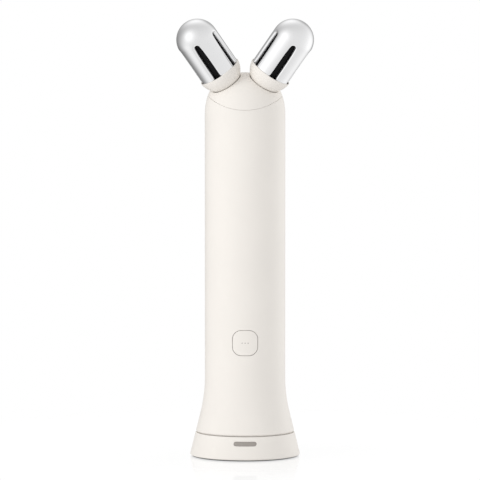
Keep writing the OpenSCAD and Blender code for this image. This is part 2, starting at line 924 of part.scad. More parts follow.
module bottom_screws() {
    color(STEEL)
    on_circle(bottom_screw_r)
        at_z(seat_z + screw_head_h + play)
            screw(bottom_t + foot_ring_h - screw_head_h - play - screw_spare);
}

module charge_contacts() {
    color(GOLD)
    for (side = [-1, 1])
        translate([side * pin_pitch / 2, 0, seat_z + contact_recess]) {
            cylinder(d = contact_d, h = bottom_t - contact_recess);
            cylinder(d = pin_d, h = bottom_t - contact_recess + charge_board_t + contact_tail);
        }
}

// ---------------------------------------------------------------- inside the handle

module charge_board() {
    color(BOARD)
    difference() {
        at_z(bottom_top_z)
            cylinder(r = chassis_r - foot_ring_w - slack, h = charge_board_t);
        for (side = [-1, 1])
            translate([side * pin_pitch / 2, 0, bottom_top_z - cut])
                cylinder(d = pin_d + play, h = charge_board_t + 2 * cut);
    }
}

module charge_ribbon() {
    ribbon_low_z = bottom_top_z + charge_board_t;
    color("#c98a3c")
        facing_front(board_back - strip_t, board_back)
            translate([-ribbon_w / 2, ribbon_low_z])
                square([ribbon_w, board_bottom_z + ribbon_lap - ribbon_low_z]);
}

// A shelf of the chassis, reaching from its wall to the back of the main board
module shelf(z, t) {
    difference() {
        at_z(z)
            cylinder(r = chassis_r - tiny, h = t);
        translate([-body_r, -body_d - board_back, z - cut])
            cube([body_d, body_d, t + 2 * cut]);
    }
}

// A half ring that the battery lies in
module cradle(z) {
    difference() {
        at_z(z)
            cylinder(r = chassis_r - tiny, h = cradle_t);
        translate([-body_r, cell_y - body_d, z - cut])
            cube([body_d, body_d, cradle_t + 2 * cut]);
        translate([0, cell_y, z - cut])
            cylinder(r = cell_r + cradle_gap, h = cradle_t + 2 * cut);
    }
}

module chassis() {
    ring_top_z = bottom_top_z + foot_ring_h;
    color(PLASTIC)
    difference() {
        union() {
            difference() {
                at_z(bottom_top_z)
                    cylinder(r = chassis_r, h = chassis_top_z - bottom_top_z);
                at_z(ring_top_z)
                    cylinder(r = chassis_inner_r, h = chassis_top_z - plate_t - ring_top_z);
                translate([-body_r, -body_d - board_back, ring_top_z])
                    cube([body_d, body_d, chassis_top_z - plate_t - ring_top_z]);
                at_z(bottom_top_z - cut)
                    cylinder(r = chassis_r - foot_ring_w, h = foot_ring_h + 2 * cut);
            }
            shelf(low_shelf_z - plate_t / 2, plate_t);
            shelf(battery_z - plate_t, plate_t);
            shelf(top_shelf_z, plate_t);
            cradle(cell_z + cell_l / 4);
            cradle(cell_z + cell_l * 3 / 4 - cradle_t);
        }
        on_circle(bottom_screw_r)
            at_z(bottom_top_z - cut)
                cylinder(d = pilot_d, h = foot_ring_h + 2 * cut);
        on_circle(cap_screw_r)
            at_z(chassis_top_z - plate_t - cut)
                cylinder(d = screw_d + 2 * screw_clear, h = plate_t + 2 * cut);
        translate([-notch_w / 2, -body_d - notch_depth, chassis_top_z - plate_t - cut])
            cube([notch_w, body_d, plate_t + 2 * cut]);
        at_board_screws()
            facing_front(board_back - board_screw_l, board_back + cut)
                circle(d = pilot_d);
    }
}

// The main board's screws go into the lowest shelf and the one above the battery
module at_board_screws() {
    for (x = [-1, 1], z = [low_shelf_z, top_shelf_z + plate_t / 2])
        translate([x * board_screw_x, 0, z])
            children();
}

module battery_cell() {
    color("#3f6fa8")
        translate([0, cell_y, cell_z])
            cylinder(r = cell_r, h = cell_l);
}

module battery_foam() {
    color(RUBBER)
    for (z = [battery_z, top_shelf_z - foam_t])
        translate([0, cell_y, z])
            cylinder(r = cell_r - foam_inset, h = foam_t);
}

// Nickel strips from the ends of the cell to the back of the main board
module battery_strips() {
    color(STEEL)
    for (z = [cell_z - strip_t, cell_top_z])
        translate([-strip_w / 2, -board_back, z])
            cube([strip_w, board_back + cell_y + cell_r / 2, strip_t]);
}

module main_board() {
    color(BOARD)
    difference() {
        facing_front(board_back, board_front)
            translate([-board_half_w, board_bottom_z])
                square([2 * board_half_w, board_top_z - board_bottom_z]);
        at_board_screws()
            facing_front(board_back - cut, board_front + cut)
                circle(d = screw_d + 2 * screw_clear);
    }
}

// A box on the front of the main board, given by its middle and its size
module on_board(x, z, w, h, t) {
    facing_front(board_front, board_front + t)
        translate([x, z])
            square([w, h], center = true);
}

module board_parts() {
    first_z = cell_z + part_start;
    color(CHIP) {
        on_board(0, button_z, led_w, led_h, led_t);
        on_board(0, first_z, chip_w, chip_w, chip_t);
        on_board(0, first_z + part_pitch, coil_w, coil_w, coil_t);
        for (side = [-1, 1]) {
            on_board(side * capacitor_x, first_z + 2 * part_pitch, capacitor_w, capacitor_l,
                capacitor_t);
            on_board(side * low_part_x, low_shelf_z + part_start, low_part_w, capacitor_l,
                chip_t);
        }
        on_board(0, first_z + 3 * part_pitch, chip_w, capacitor_w, chip_t);
    }
}

module board_screws() {
    color(STEEL)
    at_board_screws()
        translate([0, -board_front, 0])
            rotate([-90, 0, 0])
                screw(board_screw_l);
}

module tact_switch() {
    color(STEEL)
    difference() {
        facing_front(board_front, switch_front)
            translate([0, switch_z])
                square(switch_w, center = true);
        facing_front(switch_front - plunger_in - button_travel - press_spare, switch_front + cut)
            translate([0, switch_z])
                circle(d = plunger_d + 2 * plunger_fit);
    }
}

module button_frame() {
    color(PLASTIC)
    difference() {
        facing_front(board_front, frame_front)
            translate([0, button_z])
                rounded_square(2 * (flange_half - frame_inset), button_corner_r);
        facing_front(board_front - cut, frame_front + cut) {
            translate([0, switch_z])
                square(switch_w + 2 * pocket_gap, center = true);
            translate([0, button_z])
                square([led_w + 2 * pocket_gap, led_h + 2 * pocket_gap], center = true);
        }
    }
}

module axle_bracket() {
    color(PLASTIC)
    difference() {
        union() {
            at_z(chassis_top_z)
                cylinder(r = inner_r - skirt_fit - skirt_t - bracket_fit, h = bracket_t);
            translate([0, -head_forward, chassis_top_z])
                cylinder(d = bracket_post_d, h = axes_z - chassis_top_z);
            for (side = [-1, 1])
                on_axis(side)
                    cylinder(d = axle_boss_d, h = boss_end_a);
        }
        for (side = [-1, 1])
            on_axis(side)
                at_z(axle_start_a)
                    cylinder(r = axle_r, h = boss_end_a);
        on_circle(cap_screw_r)
            at_z(chassis_top_z - cut)
                cylinder(d = screw_d + 2 * screw_clear, h = bracket_t + 2 * cut);
        translate([-notch_w / 2, -body_d - notch_depth, chassis_top_z - cut])
            cube([notch_w, body_d, bracket_t + 2 * cut]);
    }
}

// Ring terminals clamped around the axles, each with a tab for its wire
module electrode_terminals() {
    color(GOLD)
    for (side = [-1, 1])
        on_axis(side)
            at_z(boss_end_a)
                difference() {
                    union() {
                        cylinder(r = terminal_r, h = terminal_t);
                        translate([-terminal_tab, -terminal_reach - wire_d / 2, 0])
                            cube([2 * terminal_tab, terminal_reach + wire_d / 2, terminal_t]);
                    }
                    at_z(-cut)
                        cylinder(r = axle_r, h = terminal_t + 2 * cut);
                }
}

// Turns a point on a roller's own axes into the part's axes
function from_axis(side, p) =
    let (x = p[0] * cos(v_half_angle) + side * p[2] * sin(v_half_angle),
         z = -side * p[0] * sin(v_half_angle) + p[2] * cos(v_half_angle))
    [x, p[1] * cos(lean) - z * sin(lean) - head_forward,
        axes_z + p[1] * sin(lean) + z * cos(lean)];

// A round wire along a list of points, each straight run reaching a little past its ends
module wire(points) {
    for (i = [1 : len(points) - 1]) {
        run = points[i] - points[i - 1];
        translate(points[i - 1])
            rotate([0, acos(run[2] / norm(run)), atan2(run[1], run[0])])
                at_z(-wire_lap)
                    cylinder(d = wire_d, h = norm(run) + 2 * wire_lap);
    }
}

module electrode_wires() {
    wire_y = -board_back + wire_d / 2 + 2 * tiny;
    color("#b23b3b")
    for (side = [-1, 1])
        wire([from_axis(side, [0, -terminal_reach, boss_end_a - wire_d * 3 / 4]),
            [side * wire_x, wire_y, bracket_top_z + wire_rise],
            [side * wire_x, wire_y, board_top_z - wire_end]]);
}

// ---------------------------------------------------------------- button

module power_button() {
    color(CREAM)
    difference() {
        union() {
            intersection() {
                facing_front(flange_back, body_r + cut)
                    translate([0, button_z])
                        rounded_square(button_w, button_corner_r);
                at_z(button_z - button_w)
                    cylinder(r = body_r - button_recess, h = 2 * button_w);
            }
            facing_front(flange_back, flange_front)
                translate([0, button_z])
                    rounded_square(2 * flange_half, button_corner_r + flange_w);
            facing_front(stem_end, flange_front)
                translate([0, switch_z])
                    circle(d = plunger_d + 2 * stem_wall);
        }
        facing_front(stem_end, body_r + cut)
            dots();
    }
}

module dots() {
    for (i = [-1 : 1])
        translate([i * dot_pitch, button_z])
            circle(d = dot_d);
}

module button_dots() {
    color("#8d8781")
    intersection() {
        facing_front(flange_back, body_r + cut)
            dots();
        at_z(button_z - button_w)
            cylinder(r = body_r - 2 * button_recess, h = 2 * button_w);
    }
}

module return_pad() {
    pad_half = flange_half - frame_inset;
    color(RUBBER)
        facing_front(flange_back - pad_t, flange_back)
            translate([0, button_z])
                difference() {
                    rounded_square(2 * pad_half, button_corner_r);
                    rounded_square(2 * (pad_half - pad_w), button_corner_r - pad_w);
                }
}

module switch_plunger() {
    color(BLACK)
        facing_front(switch_front - plunger_in, stem_end)
            translate([0, switch_z])
                circle(d = plunger_d);
}

// ---------------------------------------------------------------- rollers

// The fixed axle, with a groove near its end for the retaining clip
module axle(side) {
    color(STEEL)
    on_axis(side)
        difference() {
            at_z(axle_start_a)
                cylinder(r = axle_r, h = axle_end_a - axle_start_a);
            at_z(clip_a)
                ring(axle_r + cut, axle_r - clip_groove, clip_t);
        }
}

module left_axle() { axle(-1); }

module right_axle() { axle(1); }

module axle_seals() {
    color(RUBBER)
    for (side = [-1, 1])
        on_axis(side)
            at_z(seal_low_a)
                ring(shaft_seal_d / 2, axle_r, seal_high_a - seal_low_a);
}

// Retaining clips, open on one side as a snap ring is
module axle_clips() {
    color(STEEL)
    for (side = [-1, 1])
        on_axis(side)
            at_z(clip_a)
                difference() {
                    ring(axle_r + clip_w, axle_r - clip_groove, clip_t);
                    translate([-clip_opening / 2, 0, -cut])
                        cube([clip_opening, axle_r + clip_w + cut, clip_t + 2 * cut]);
                }
}

// The chrome electrode: a hollow capsule with slots from its dome down into the cup
module electrode(side) {
    first_slot = side > 0 ? slot_turn - 90 : -90 - slot_turn;
    color(CHROME)
    on_axis(side)
        difference() {
            rotate_extrude()
                difference() {
                    union() {
                        capsule_profile(electrode_r, electrode_a);
                        translate([0, spigot_a])
                            square([spigot_r, spigot_l]);
                    }
                    capsule_profile(electrode_inner_r, spigot_a - cut);
                }
            for (i = [0 : slot_count - 1])
                rotate(first_slot + 360 * i / slot_count)
                    rotate([90, 0, 90])
                        linear_extrude(electrode_r + cut) {
                            translate([-slot_w / 2, slot_low_a])
                                square([slot_w, slot_high_a - slot_low_a]);
                            translate([0, slot_high_a])
                                circle(d = slot_w);
                        }
        }
}

// The black core behind the slots, bored for the axle and its upper bush
module core(side) {
    clip_space = axle_r + clip_w + clip_clear;
    color(BLACK)
    on_axis(side)
        rotate_extrude()
            difference() {
                capsule_profile(core_r, core_a);
                translate([0, core_a - cut])
                    square([axle_r + axle_clear, top_bush_a - core_a + 2 * cut]);
                translate([0, top_bush_a])
                    square([bush_r, bush_l + tiny]);
                translate([0, top_bush_a + bush_l])
                    square([clip_space, core_r + dome_a]);
            }
}

// The cream cup: half a ball, bored for the lower bush and stepped for the electrode
module cup(side) {
    color(CREAM)
    on_axis(side)
        rotate_extrude()
            difference() {
                intersection() {
                    translate([0, rim_a])
                        circle(cup_r);
                    translate([0, rim_a - cup_r])
                        square([cup_r, cup_r]);
                }
                translate([0, electrode_a])
                    square([electrode_r + seat_fit, electrode_seat + cut]);
                translate([0, spigot_a])
                    square([spigot_r + seat_fit, spigot_l + cut]);
                translate([0, core_a])
                    square([core_r, rim_a - core_a]);
                translate([0, rim_a - cup_r - cut])
                    square([axle_r + axle_clear, cup_r]);
                translate([0, low_bush_a])
                    square([bush_r, core_a - low_bush_a + tiny]);
            }
}

module bushes(side) {
    color(GOLD)
    on_axis(side)
        for (a = [low_bush_a, top_bush_a])
            at_z(a)
                ring(bush_r, axle_r + axle_fit, a == low_bush_a ? core_a - low_bush_a : bush_l);
}

module left_electrode() { electrode(-1); }

module left_core() { core(-1); }

module left_cup() { cup(-1); }

module left_bushes() { bushes(-1); }

module right_electrode() { electrode(1); }

module right_core() { core(1); }

module right_cup() { cup(1); }

module right_bushes() { bushes(1); }

// ---------------------------------------------------------------- the part

dock_shell();
dock_base_plate();
dock_foot();
dock_ballast();
dock_board();
dock_board_parts();
usb_socket();
usb_tongue();
light_bar();
charge_pins();
dock_screws();
handle_shell();
head_cap();
cap_seal();
cap_screws();
bottom_cap();
bottom_seal();
bottom_screws();
charge_contacts();
charge_board();
charge_ribbon();
chassis();
battery_cell();
battery_foam();
battery_strips();
main_board();
board_parts();
board_screws();
tact_switch();
button_frame();
axle_bracket();
electrode_wires();
electrode_terminals();
left_axle();
right_axle();
axle_seals();
axle_clips();
power_button();
button_dots();
return_pad();
switch_plunger();
left_electrode();
left_core();
left_cup();
left_bushes();
right_electrode();
right_core();
right_cup();
right_bushes();
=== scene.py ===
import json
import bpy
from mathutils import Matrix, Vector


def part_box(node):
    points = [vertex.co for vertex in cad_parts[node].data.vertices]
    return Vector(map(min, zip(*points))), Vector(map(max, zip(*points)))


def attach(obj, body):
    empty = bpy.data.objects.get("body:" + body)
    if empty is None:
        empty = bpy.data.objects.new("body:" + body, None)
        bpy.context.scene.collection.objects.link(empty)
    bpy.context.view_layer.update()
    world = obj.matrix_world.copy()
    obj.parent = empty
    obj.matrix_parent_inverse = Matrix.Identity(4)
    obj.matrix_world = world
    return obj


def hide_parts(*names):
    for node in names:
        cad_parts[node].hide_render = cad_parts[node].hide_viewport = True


bl_info = {
    "name": "Facial Toning Device",
    "version": (1, 0, 0),
    "blender": (4, 5, 0),
    "location": "View3D > Sidebar > Toning Device",
    "description": "Builds the handle, chrome rollers, button and dock, and a plain studio",
    "category": "Add Mesh",
}

import bmesh
import bpy
import numpy as np
from mathutils import Vector

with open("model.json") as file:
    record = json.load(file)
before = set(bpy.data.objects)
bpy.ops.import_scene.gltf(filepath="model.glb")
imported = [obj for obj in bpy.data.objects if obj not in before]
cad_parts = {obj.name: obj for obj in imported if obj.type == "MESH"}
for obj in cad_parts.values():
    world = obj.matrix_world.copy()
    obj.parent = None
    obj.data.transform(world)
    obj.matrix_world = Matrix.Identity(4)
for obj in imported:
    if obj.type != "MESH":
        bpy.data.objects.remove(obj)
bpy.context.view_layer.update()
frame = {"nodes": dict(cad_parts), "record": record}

MM = 0.001
COLUMNS = 240  # Columns of points around the handle and the dock

# ------------------------------------------------------------------ sizes and colours


def length(name, description, value):
    """A size given here in millimetres."""
    return bpy.props.FloatProperty(
        name=name, description=description, default=float(value) * MM, min=0.0,
        unit="LENGTH", precision=5)


def angle(name, description, degrees):
    """An angle given here in degrees."""
    return bpy.props.FloatProperty(
        name=name, description=description, default=float(np.radians(degrees)),
        subtype="ANGLE")


def number(name, description, value):
    """A plain number."""
    return bpy.props.FloatProperty(
        name=name, description=description, default=value, min=0.0)


def colour(name, description, value):
    """A colour, as linear red, green and blue."""
    return bpy.props.FloatVectorProperty(
        name=name, description=description, default=value, size=3, min=0.0, max=1.0,
        subtype="COLOR")


class TONING_PG_handle(bpy.types.PropertyGroup):
    """Sizes of the handle's shell and of the cap on its head."""

    radius: length("Grip Radius", "Radius of the straight grip", 19)
    wall: length("Wall", "Thickness of the handle's wall", 2.2)
    rim: length("Rim Height", "Height of the handle's lower edge",
                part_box("handle_shell")[0].z / MM)
    shoulder: length("Shoulder", "Height at which the dome begins", 161)
    dome: length("Dome Height", "Height of the dome above the shoulder", 20.8)
    dome_power: number("Dome Power", "Exponent of the dome's superellipse", 2.4)
    flare: angle("Flare", "Slope of the foot against the vertical", 14)
    blend: length("Flare Blend", "Radius of the arc between the grip and the foot", 70)
    floor_radius: length("Floor Radius", "Radius that the flare reaches at the floor", 26.25)
    seam: length("Seam Height", "Lowest height of the cap's seam", 165.1)
    seam_radius: length("Seam Radius", "Radius of the seam's curve, seen from the front", 30)
    seam_gap: length("Seam Gap", "Width of the gap along the seam", 0.05)
    edge: length("Edge Rounding", "Rounding of the moulded edges", 0.2)
    lip: length("Lip Inset", "Depth of the shadow line above the dock", 0.3)
    lip_end: length("Lip End", "Height of the lip's lower end inside that line", 11.45)
    skirt: length("Skirt End", "Height of the lower end of the cap's skirt", 155)
    skirt_inset: length("Skirt Inset", "Distance of the skirt from the outside", 2.4)
    skirt_wall: length("Skirt Wall", "Thickness of the cap's skirt", 1.6)
    ceiling: length("Ceiling", "Height of the hollow under the cap", 171.2)


class TONING_PG_rollers(bpy.types.PropertyGroup):
    """Sizes of the two chrome rollers, given along and around their axes."""

    half_angle: angle("Half Angle", "Angle of each axis away from the vertical", 33.5)
    lean: angle("Lean", "Angle by which both rollers lean forward", 12)
    meeting: length("Meeting Height", "Height at which the two axes meet", 164.7)
    forward: length("Forward", "How far the axes meet in front of the handle's axis", 3.5)
    radius: length("Electrode Radius", "Radius of the chrome electrode", 9.95)
    wall: length("Electrode Wall", "Thickness of the electrode's wall", 1.75)
    ball: length("Ball", "Distance along the axis to the middle of the cup's ball", 22.9)
    rim_drop: length("Rim Drop", "How far the cup's rim lies below that middle", 0.95)
    seat: length("Seat", "Depth by which the electrode sits in the cup", 1.2)
    straight: length("Straight", "Length from the ball's middle to the dome", 17.7)
    spigot: length("Spigot", "Length of the narrower spigot below the seat", 2.4)
    slots: bpy.props.IntProperty(
        name="Slots", description="Number of slots around each electrode", default=5, min=3)
    slot_width: length("Slot Width", "Width of each slot at its foot", 2.95)
    slot_tip: length("Slot Tip Width", "Width of each slot where its round tip begins", 2.1)
    slot_taper: number(
        "Slot Taper", "1 narrows a slot evenly, and more narrows it nearer to its tip", 5)
    slot_gap: length("Slot Top Gap", "Distance from the dome down to the slots' tips", 0.4)
    slot_turn: angle("Slot Turn", "Angle by which the front slot is turned outward", 6)
    edge: length("Slot Edge", "Rounding of the slots' sides", 1.6)
    cup_wall: length("Cup Rim", "Thickness of the cup's rim", 0.5)
    cup_edge: length("Cup Edge", "Rounding of the cup's rim", 0.2)
    socket_gap: length("Socket Gap", "Gap between the cup and its socket", 0.35)
    core: length("Core Radius", "Radius of the bore for the black core", 7.53)
    axle: length("Axle Bore", "Radius of the bore around the axle", 2.4)
    bush: length("Bush Bore", "Radius of the bore for the lower bush", 3.45)


class TONING_PG_button(bpy.types.PropertyGroup):
    """Sizes of the power button and its three indicator dots."""

    width: length("Width", "Width and height of the button", 11.8)
    corner: length("Corner", "Corner radius of the button", 4.1)
    height: length("Height", "Height of the button's middle", 55.3)
    gap: length("Gap", "Gap around the button", 0.17)
    recess: length("Recess", "How far the button lies below the handle", 0.1)
    edge: length("Edge", "Rounding of the button's edge and of the opening", 0.22)
    flange: length("Flange", "Width of the flange that keeps the button in", 1.2)
    front: length("Flange Front", "Depth of the flange's front face", 15.03)
    back: length("Flange Back", "Depth of the flange's back face", 14.23)
    dot: length("Dot", "Radius of each indicator dot", 0.25)
    pitch: length("Dot Pitch", "Spacing of the indicator dots", 1.4)


class TONING_PG_dock(bpy.types.PropertyGroup):
    """Sizes of the dock's shell, its light bar and its USB inlet."""

    base: length("Base", "Height of the shell's lower edge", 0.5)
    height: length("Height", "Height of the dock's deck", 11.3)
    wall: length("Wall", "Thickness of the side wall", 2.2)
    rim: length("Rim", "Extra width of the rim around the base plate", 1.2)
    plate: length("Plate Top", "Height of the top of the base plate", 2.5)
    deck: length("Deck", "Thickness of the deck", 1.8)
    round: length("Lower Edge", "Rounding of the lower edge", 0.6)
    edge: length("Top Edge", "Rounding of the upper edge and of the boss", 0.3)
    boss: length("Boss Radius", "Radius of the boss that the handle stands on", 15)
    boss_top: length("Boss Top", "Height of the boss's top", 14.5)
    flat: length("Boss Flat", "Distance from the axis to the boss's flat", 13.6)
    light_width: length("Light Width", "Width of the light bar", 10.7)
    light_height: length("Light Height", "Height of the light bar", 1.95)
    light: length("Light Middle", "Height of the light bar's middle", 8.1)
    light_fit: length("Light Fit", "Clearance around the light bar", 0.08)
    light_recess: length("Light Recess", "How far the light bar lies in the wall", 0.1)
    inlet_width: length("Inlet Width", "Width of the USB inlet's opening", 9.24)
    inlet_height: length("Inlet Height", "Height of the USB inlet's opening", 3.46)
    inlet: length("Inlet Middle", "Height of the USB inlet's middle", 6.08)
    slot_edge: length("Slot Edge", "Rounding of the openings' edges", 0.12)


class TONING_PG_finish(bpy.types.PropertyGroup):
    """Base colours of the finishes."""

    cream: colour("Cream Plastic", "Moulded cream plastic", (0.83, 0.794, 0.749))
    grey: colour("Grey Plastic", "Hidden mouldings", (0.46, 0.46, 0.475))
    black: colour("Black Plastic", "Roller cores and chips", (0.004, 0.004, 0.0045))
    diffuser: colour("Light Bar", "Frosted light bar while it is off", (0.33, 0.30, 0.275))
    rubber: colour("Rubber", "Seals, pads and foot", (0.09, 0.09, 0.095))
    chrome: colour("Chrome", "Polished electrodes", (0.86, 0.86, 0.865))
    steel: colour("Steel", "Screws, strips and axles", (0.56, 0.57, 0.585))
    gold: colour("Gold", "Contacts and pins", (0.86, 0.62, 0.27))
    bronze: colour("Bronze", "Sintered bushes", (0.58, 0.38, 0.2))
    board: colour("Circuit Board", "Green solder mask", (0.018, 0.13, 0.06))
    film: colour("Film", "Amber film of the ribbon", (0.55, 0.27, 0.055))
    sleeve: colour("Battery Sleeve", "Shrink sleeve of the cell", (0.05, 0.16, 0.4))
    wire: colour("Wire", "Insulation of the wires", (0.46, 0.035, 0.035))


class TONING_PG_studio(bpy.types.PropertyGroup):
    """Camera and light."""

    elevation: angle("Camera Elevation", "Camera's angle above the horizon", 5)
    distance: length("Camera Distance", "Distance from the camera to the object", 3000)
    aside: bpy.props.FloatProperty(
        name="Camera Aside", description="Sideways place of the point the camera looks at",
        default=-0.0024, unit="LENGTH", precision=5)
    target: length("Target Height", "Height of the point the camera looks at", 102.4)
    half_frame: length("Half Frame", "Half the width that the camera sees", 113.5)
    ambient: number("Ambient", "Strength of the studio's even light", 0.903)
    key: number("Key", "Power of the soft light at the left", 4.05)
    fill: number("Fill", "Power of the soft light behind, at the right", 2.95)


class TONING_PG_device(bpy.types.PropertyGroup):
    """Everything that can be set on the device."""

    handle: bpy.props.PointerProperty(type=TONING_PG_handle)
    rollers: bpy.props.PointerProperty(type=TONING_PG_rollers)
    button: bpy.props.PointerProperty(type=TONING_PG_button)
    dock: bpy.props.PointerProperty(type=TONING_PG_dock)
    finish: bpy.props.PointerProperty(type=TONING_PG_finish)
    studio: bpy.props.PointerProperty(type=TONING_PG_studio)


# ------------------------------------------------------------------ surfaces


class Outline:
    """The outside that the dock and the handle share.

    From the floor the radius falls in a straight line, an arc then turns it upright into
    the grip, and above the shoulder it is a superellipse, in which the radius and the
    height, each as a share of the dome's, raised to the power and added, make 1.
    """

    def __init__(self, s):
        self.s = s
        self.slope = np.tan(s.flare)
        spread = s.floor_radius - s.radius - s.blend * (1 - np.cos(s.flare))
        self.low = spread / self.slope
        self.top = self.low + s.blend * np.sin(s.flare)

    def radius(self, z, inset=0.0):
        """Radius at height z of the outline made smaller by the inset."""
        s = self.s
        drop = np.clip(self.top - z, 0, s.blend)
        arc = s.radius + s.blend - np.sqrt(s.blend**2 - drop**2)
        side = np.where(z < self.low, s.floor_radius - z * self.slope, arc) - inset
        rise = np.clip((z - s.shoulder) / (s.dome - inset), 0, 1)
        return side * (1 - rise**s.dome_power) ** (1 / s.dome_power)

    def rings(self, z, turn, inset=0.0):
        """Rings around the axis, one at each height: r cos(turn), r sin(turn), z."""
        return ring(self.radius(z, inset)[:, None], z[:, None], turn)

    def seam(self, x, gap=0.0):
        """Height of the seam at sideways place x: the underside of a cylinder along Y."""
        s = self.s
        return s.seam + s.seam_radius - np.sqrt((s.seam_radius + gap) ** 2 - x**2)

    def seam_ring(self, turn, inset=0.0, gap=0.0):
        """Points where the outline meets the seam, found by putting each radius back in."""
        r = np.full_like(turn, self.s.radius - inset)
        for _ in range(50):
            r = self.radius(self.seam(r * np.cos(turn), gap), inset)
        return ring(r, self.seam(r * np.cos(turn), gap), turn)

    def fullness(self, points):
        """The superellipse's sum: below 1 inside the dome and above 1 outside it."""
        s = self.s
        r = np.hypot(points[..., 0], points[..., 1]) / s.radius
        h = np.maximum(points[..., 2] - s.shoulder, 0) / s.dome
        return r**s.dome_power + h**s.dome_power

    def onto_dome(self, points):
        """Moves points onto the dome along rays from the middle of the shoulder."""
        origin = np.array([0, 0, self.s.shoulder])
        reach = self.fullness(points) ** (-1 / self.s.dome_power)
        return origin + (points - origin) * reach[..., None]


def ring(radius, z, turn):
    """Points around the Z axis: x = r cos(turn), y = r sin(turn)."""
    radius, z, turn = np.broadcast_arrays(radius, z, turn)
    return np.stack([radius * np.cos(turn), radius * np.sin(turn), z], -1)


def bend(a, b, c, steps=4):
    """Rows from a to c that turn at b: (1-t)^2 a + 2t(1-t) b + t^2 c."""
    t = np.linspace(0, 1, steps + 1)[:, None, None]
    return (1 - t) ** 2 * a + 2 * t * (1 - t) * b + t**2 * c


def blend(a, b, rows):
    """Evenly spaced rows that lead from a to b: a + t (b - a)."""
    return a + (b - a) * np.linspace(0, 1, rows)[:, None, None]


def gathered(rows):
    """Shares from 0 to 1 that lie a little closer together toward 1: t^0.8."""
    return np.linspace(0, 1, rows)[:, None] ** 0.8


def rounded(corners, steps=5):
    """A profile of (radius, height) corners, each rounded by the third number given.

    The rounding starts and ends that far from the corner and turns at it, by the same
    formula as bend, so a corner whose number is 0 stays sharp.
    """
    p = np.array(corners, float)
    xy, cut = p[:, :2], p[:, 2]
    rows = [xy[:1]]
    for before, at, after, size in zip(xy, xy[1:], xy[2:], cut[1:]):
        a = at + (before - at) * size / np.linalg.norm(before - at)
        c = at + (after - at) * size / np.linalg.norm(after - at)
        rows.append(at[None] if size == 0 else bend(a[None], at[None], c[None], steps)[:, 0])
    return np.concatenate(rows + [xy[-1:]])


def rectangle(turns, heights):
    """The border of a rectangle in order: bottom, right side, top, left side."""
    n, m = len(turns) - 1, len(heights) - 1
    t = np.concatenate([turns[:-1], np.full(m, turns[-1]),
                        turns[:0:-1], np.full(m, turns[0])])
    z = np.concatenate([np.full(n, heights[0]), heights[:-1],
                        np.full(n, heights[-1]), heights[:0:-1]])
    return t, z


def rounded_square(half, corner):
    """Distance from the middle to a rounded square's edge, in each direction.

    It is half / cos on the straight sides. Past the corner's start the direction meets
    the corner's circle at b + sqrt(b^2 - 2k^2 + corner^2), where k is the distance from
    the middle to the circle's centre along each side and b is k (|cos| + |sin|).
    """
    def edge(direction, grow=0.0):
        h, c = half + grow, corner + grow
        x, y = np.abs(np.cos(direction)), np.abs(np.sin(direction))
        straight = h / np.maximum(x, y)
        k = h - c
        b = k * (x + y)
        bow = b + np.sqrt(np.maximum(b**2 - 2 * k**2 + c**2, 0))
        return np.where(straight * np.minimum(x, y) <= k, straight, bow)
    return edge


def long_slot(width, height):
    """Distance from the middle to the edge of a slot with round ends, in each direction.

    It is q / |sin| along the straight sides, where q is half the height, and
    l |cos| + sqrt(q^2 - l^2 sin^2) at the ends, whose centres lie l from the middle.
    """
    def edge(direction, grow=0.0):
        q = height / 2 + grow
        l = (width - height) / 2
        x, y = np.abs(np.cos(direction)), np.abs(np.sin(direction))
        side = q / np.maximum(y, 1e-9)
        end = l * x + np.sqrt(np.maximum(q**2 - (l * y) ** 2, 0))
        return np.where(side * x <= l, side, end)
    return edge


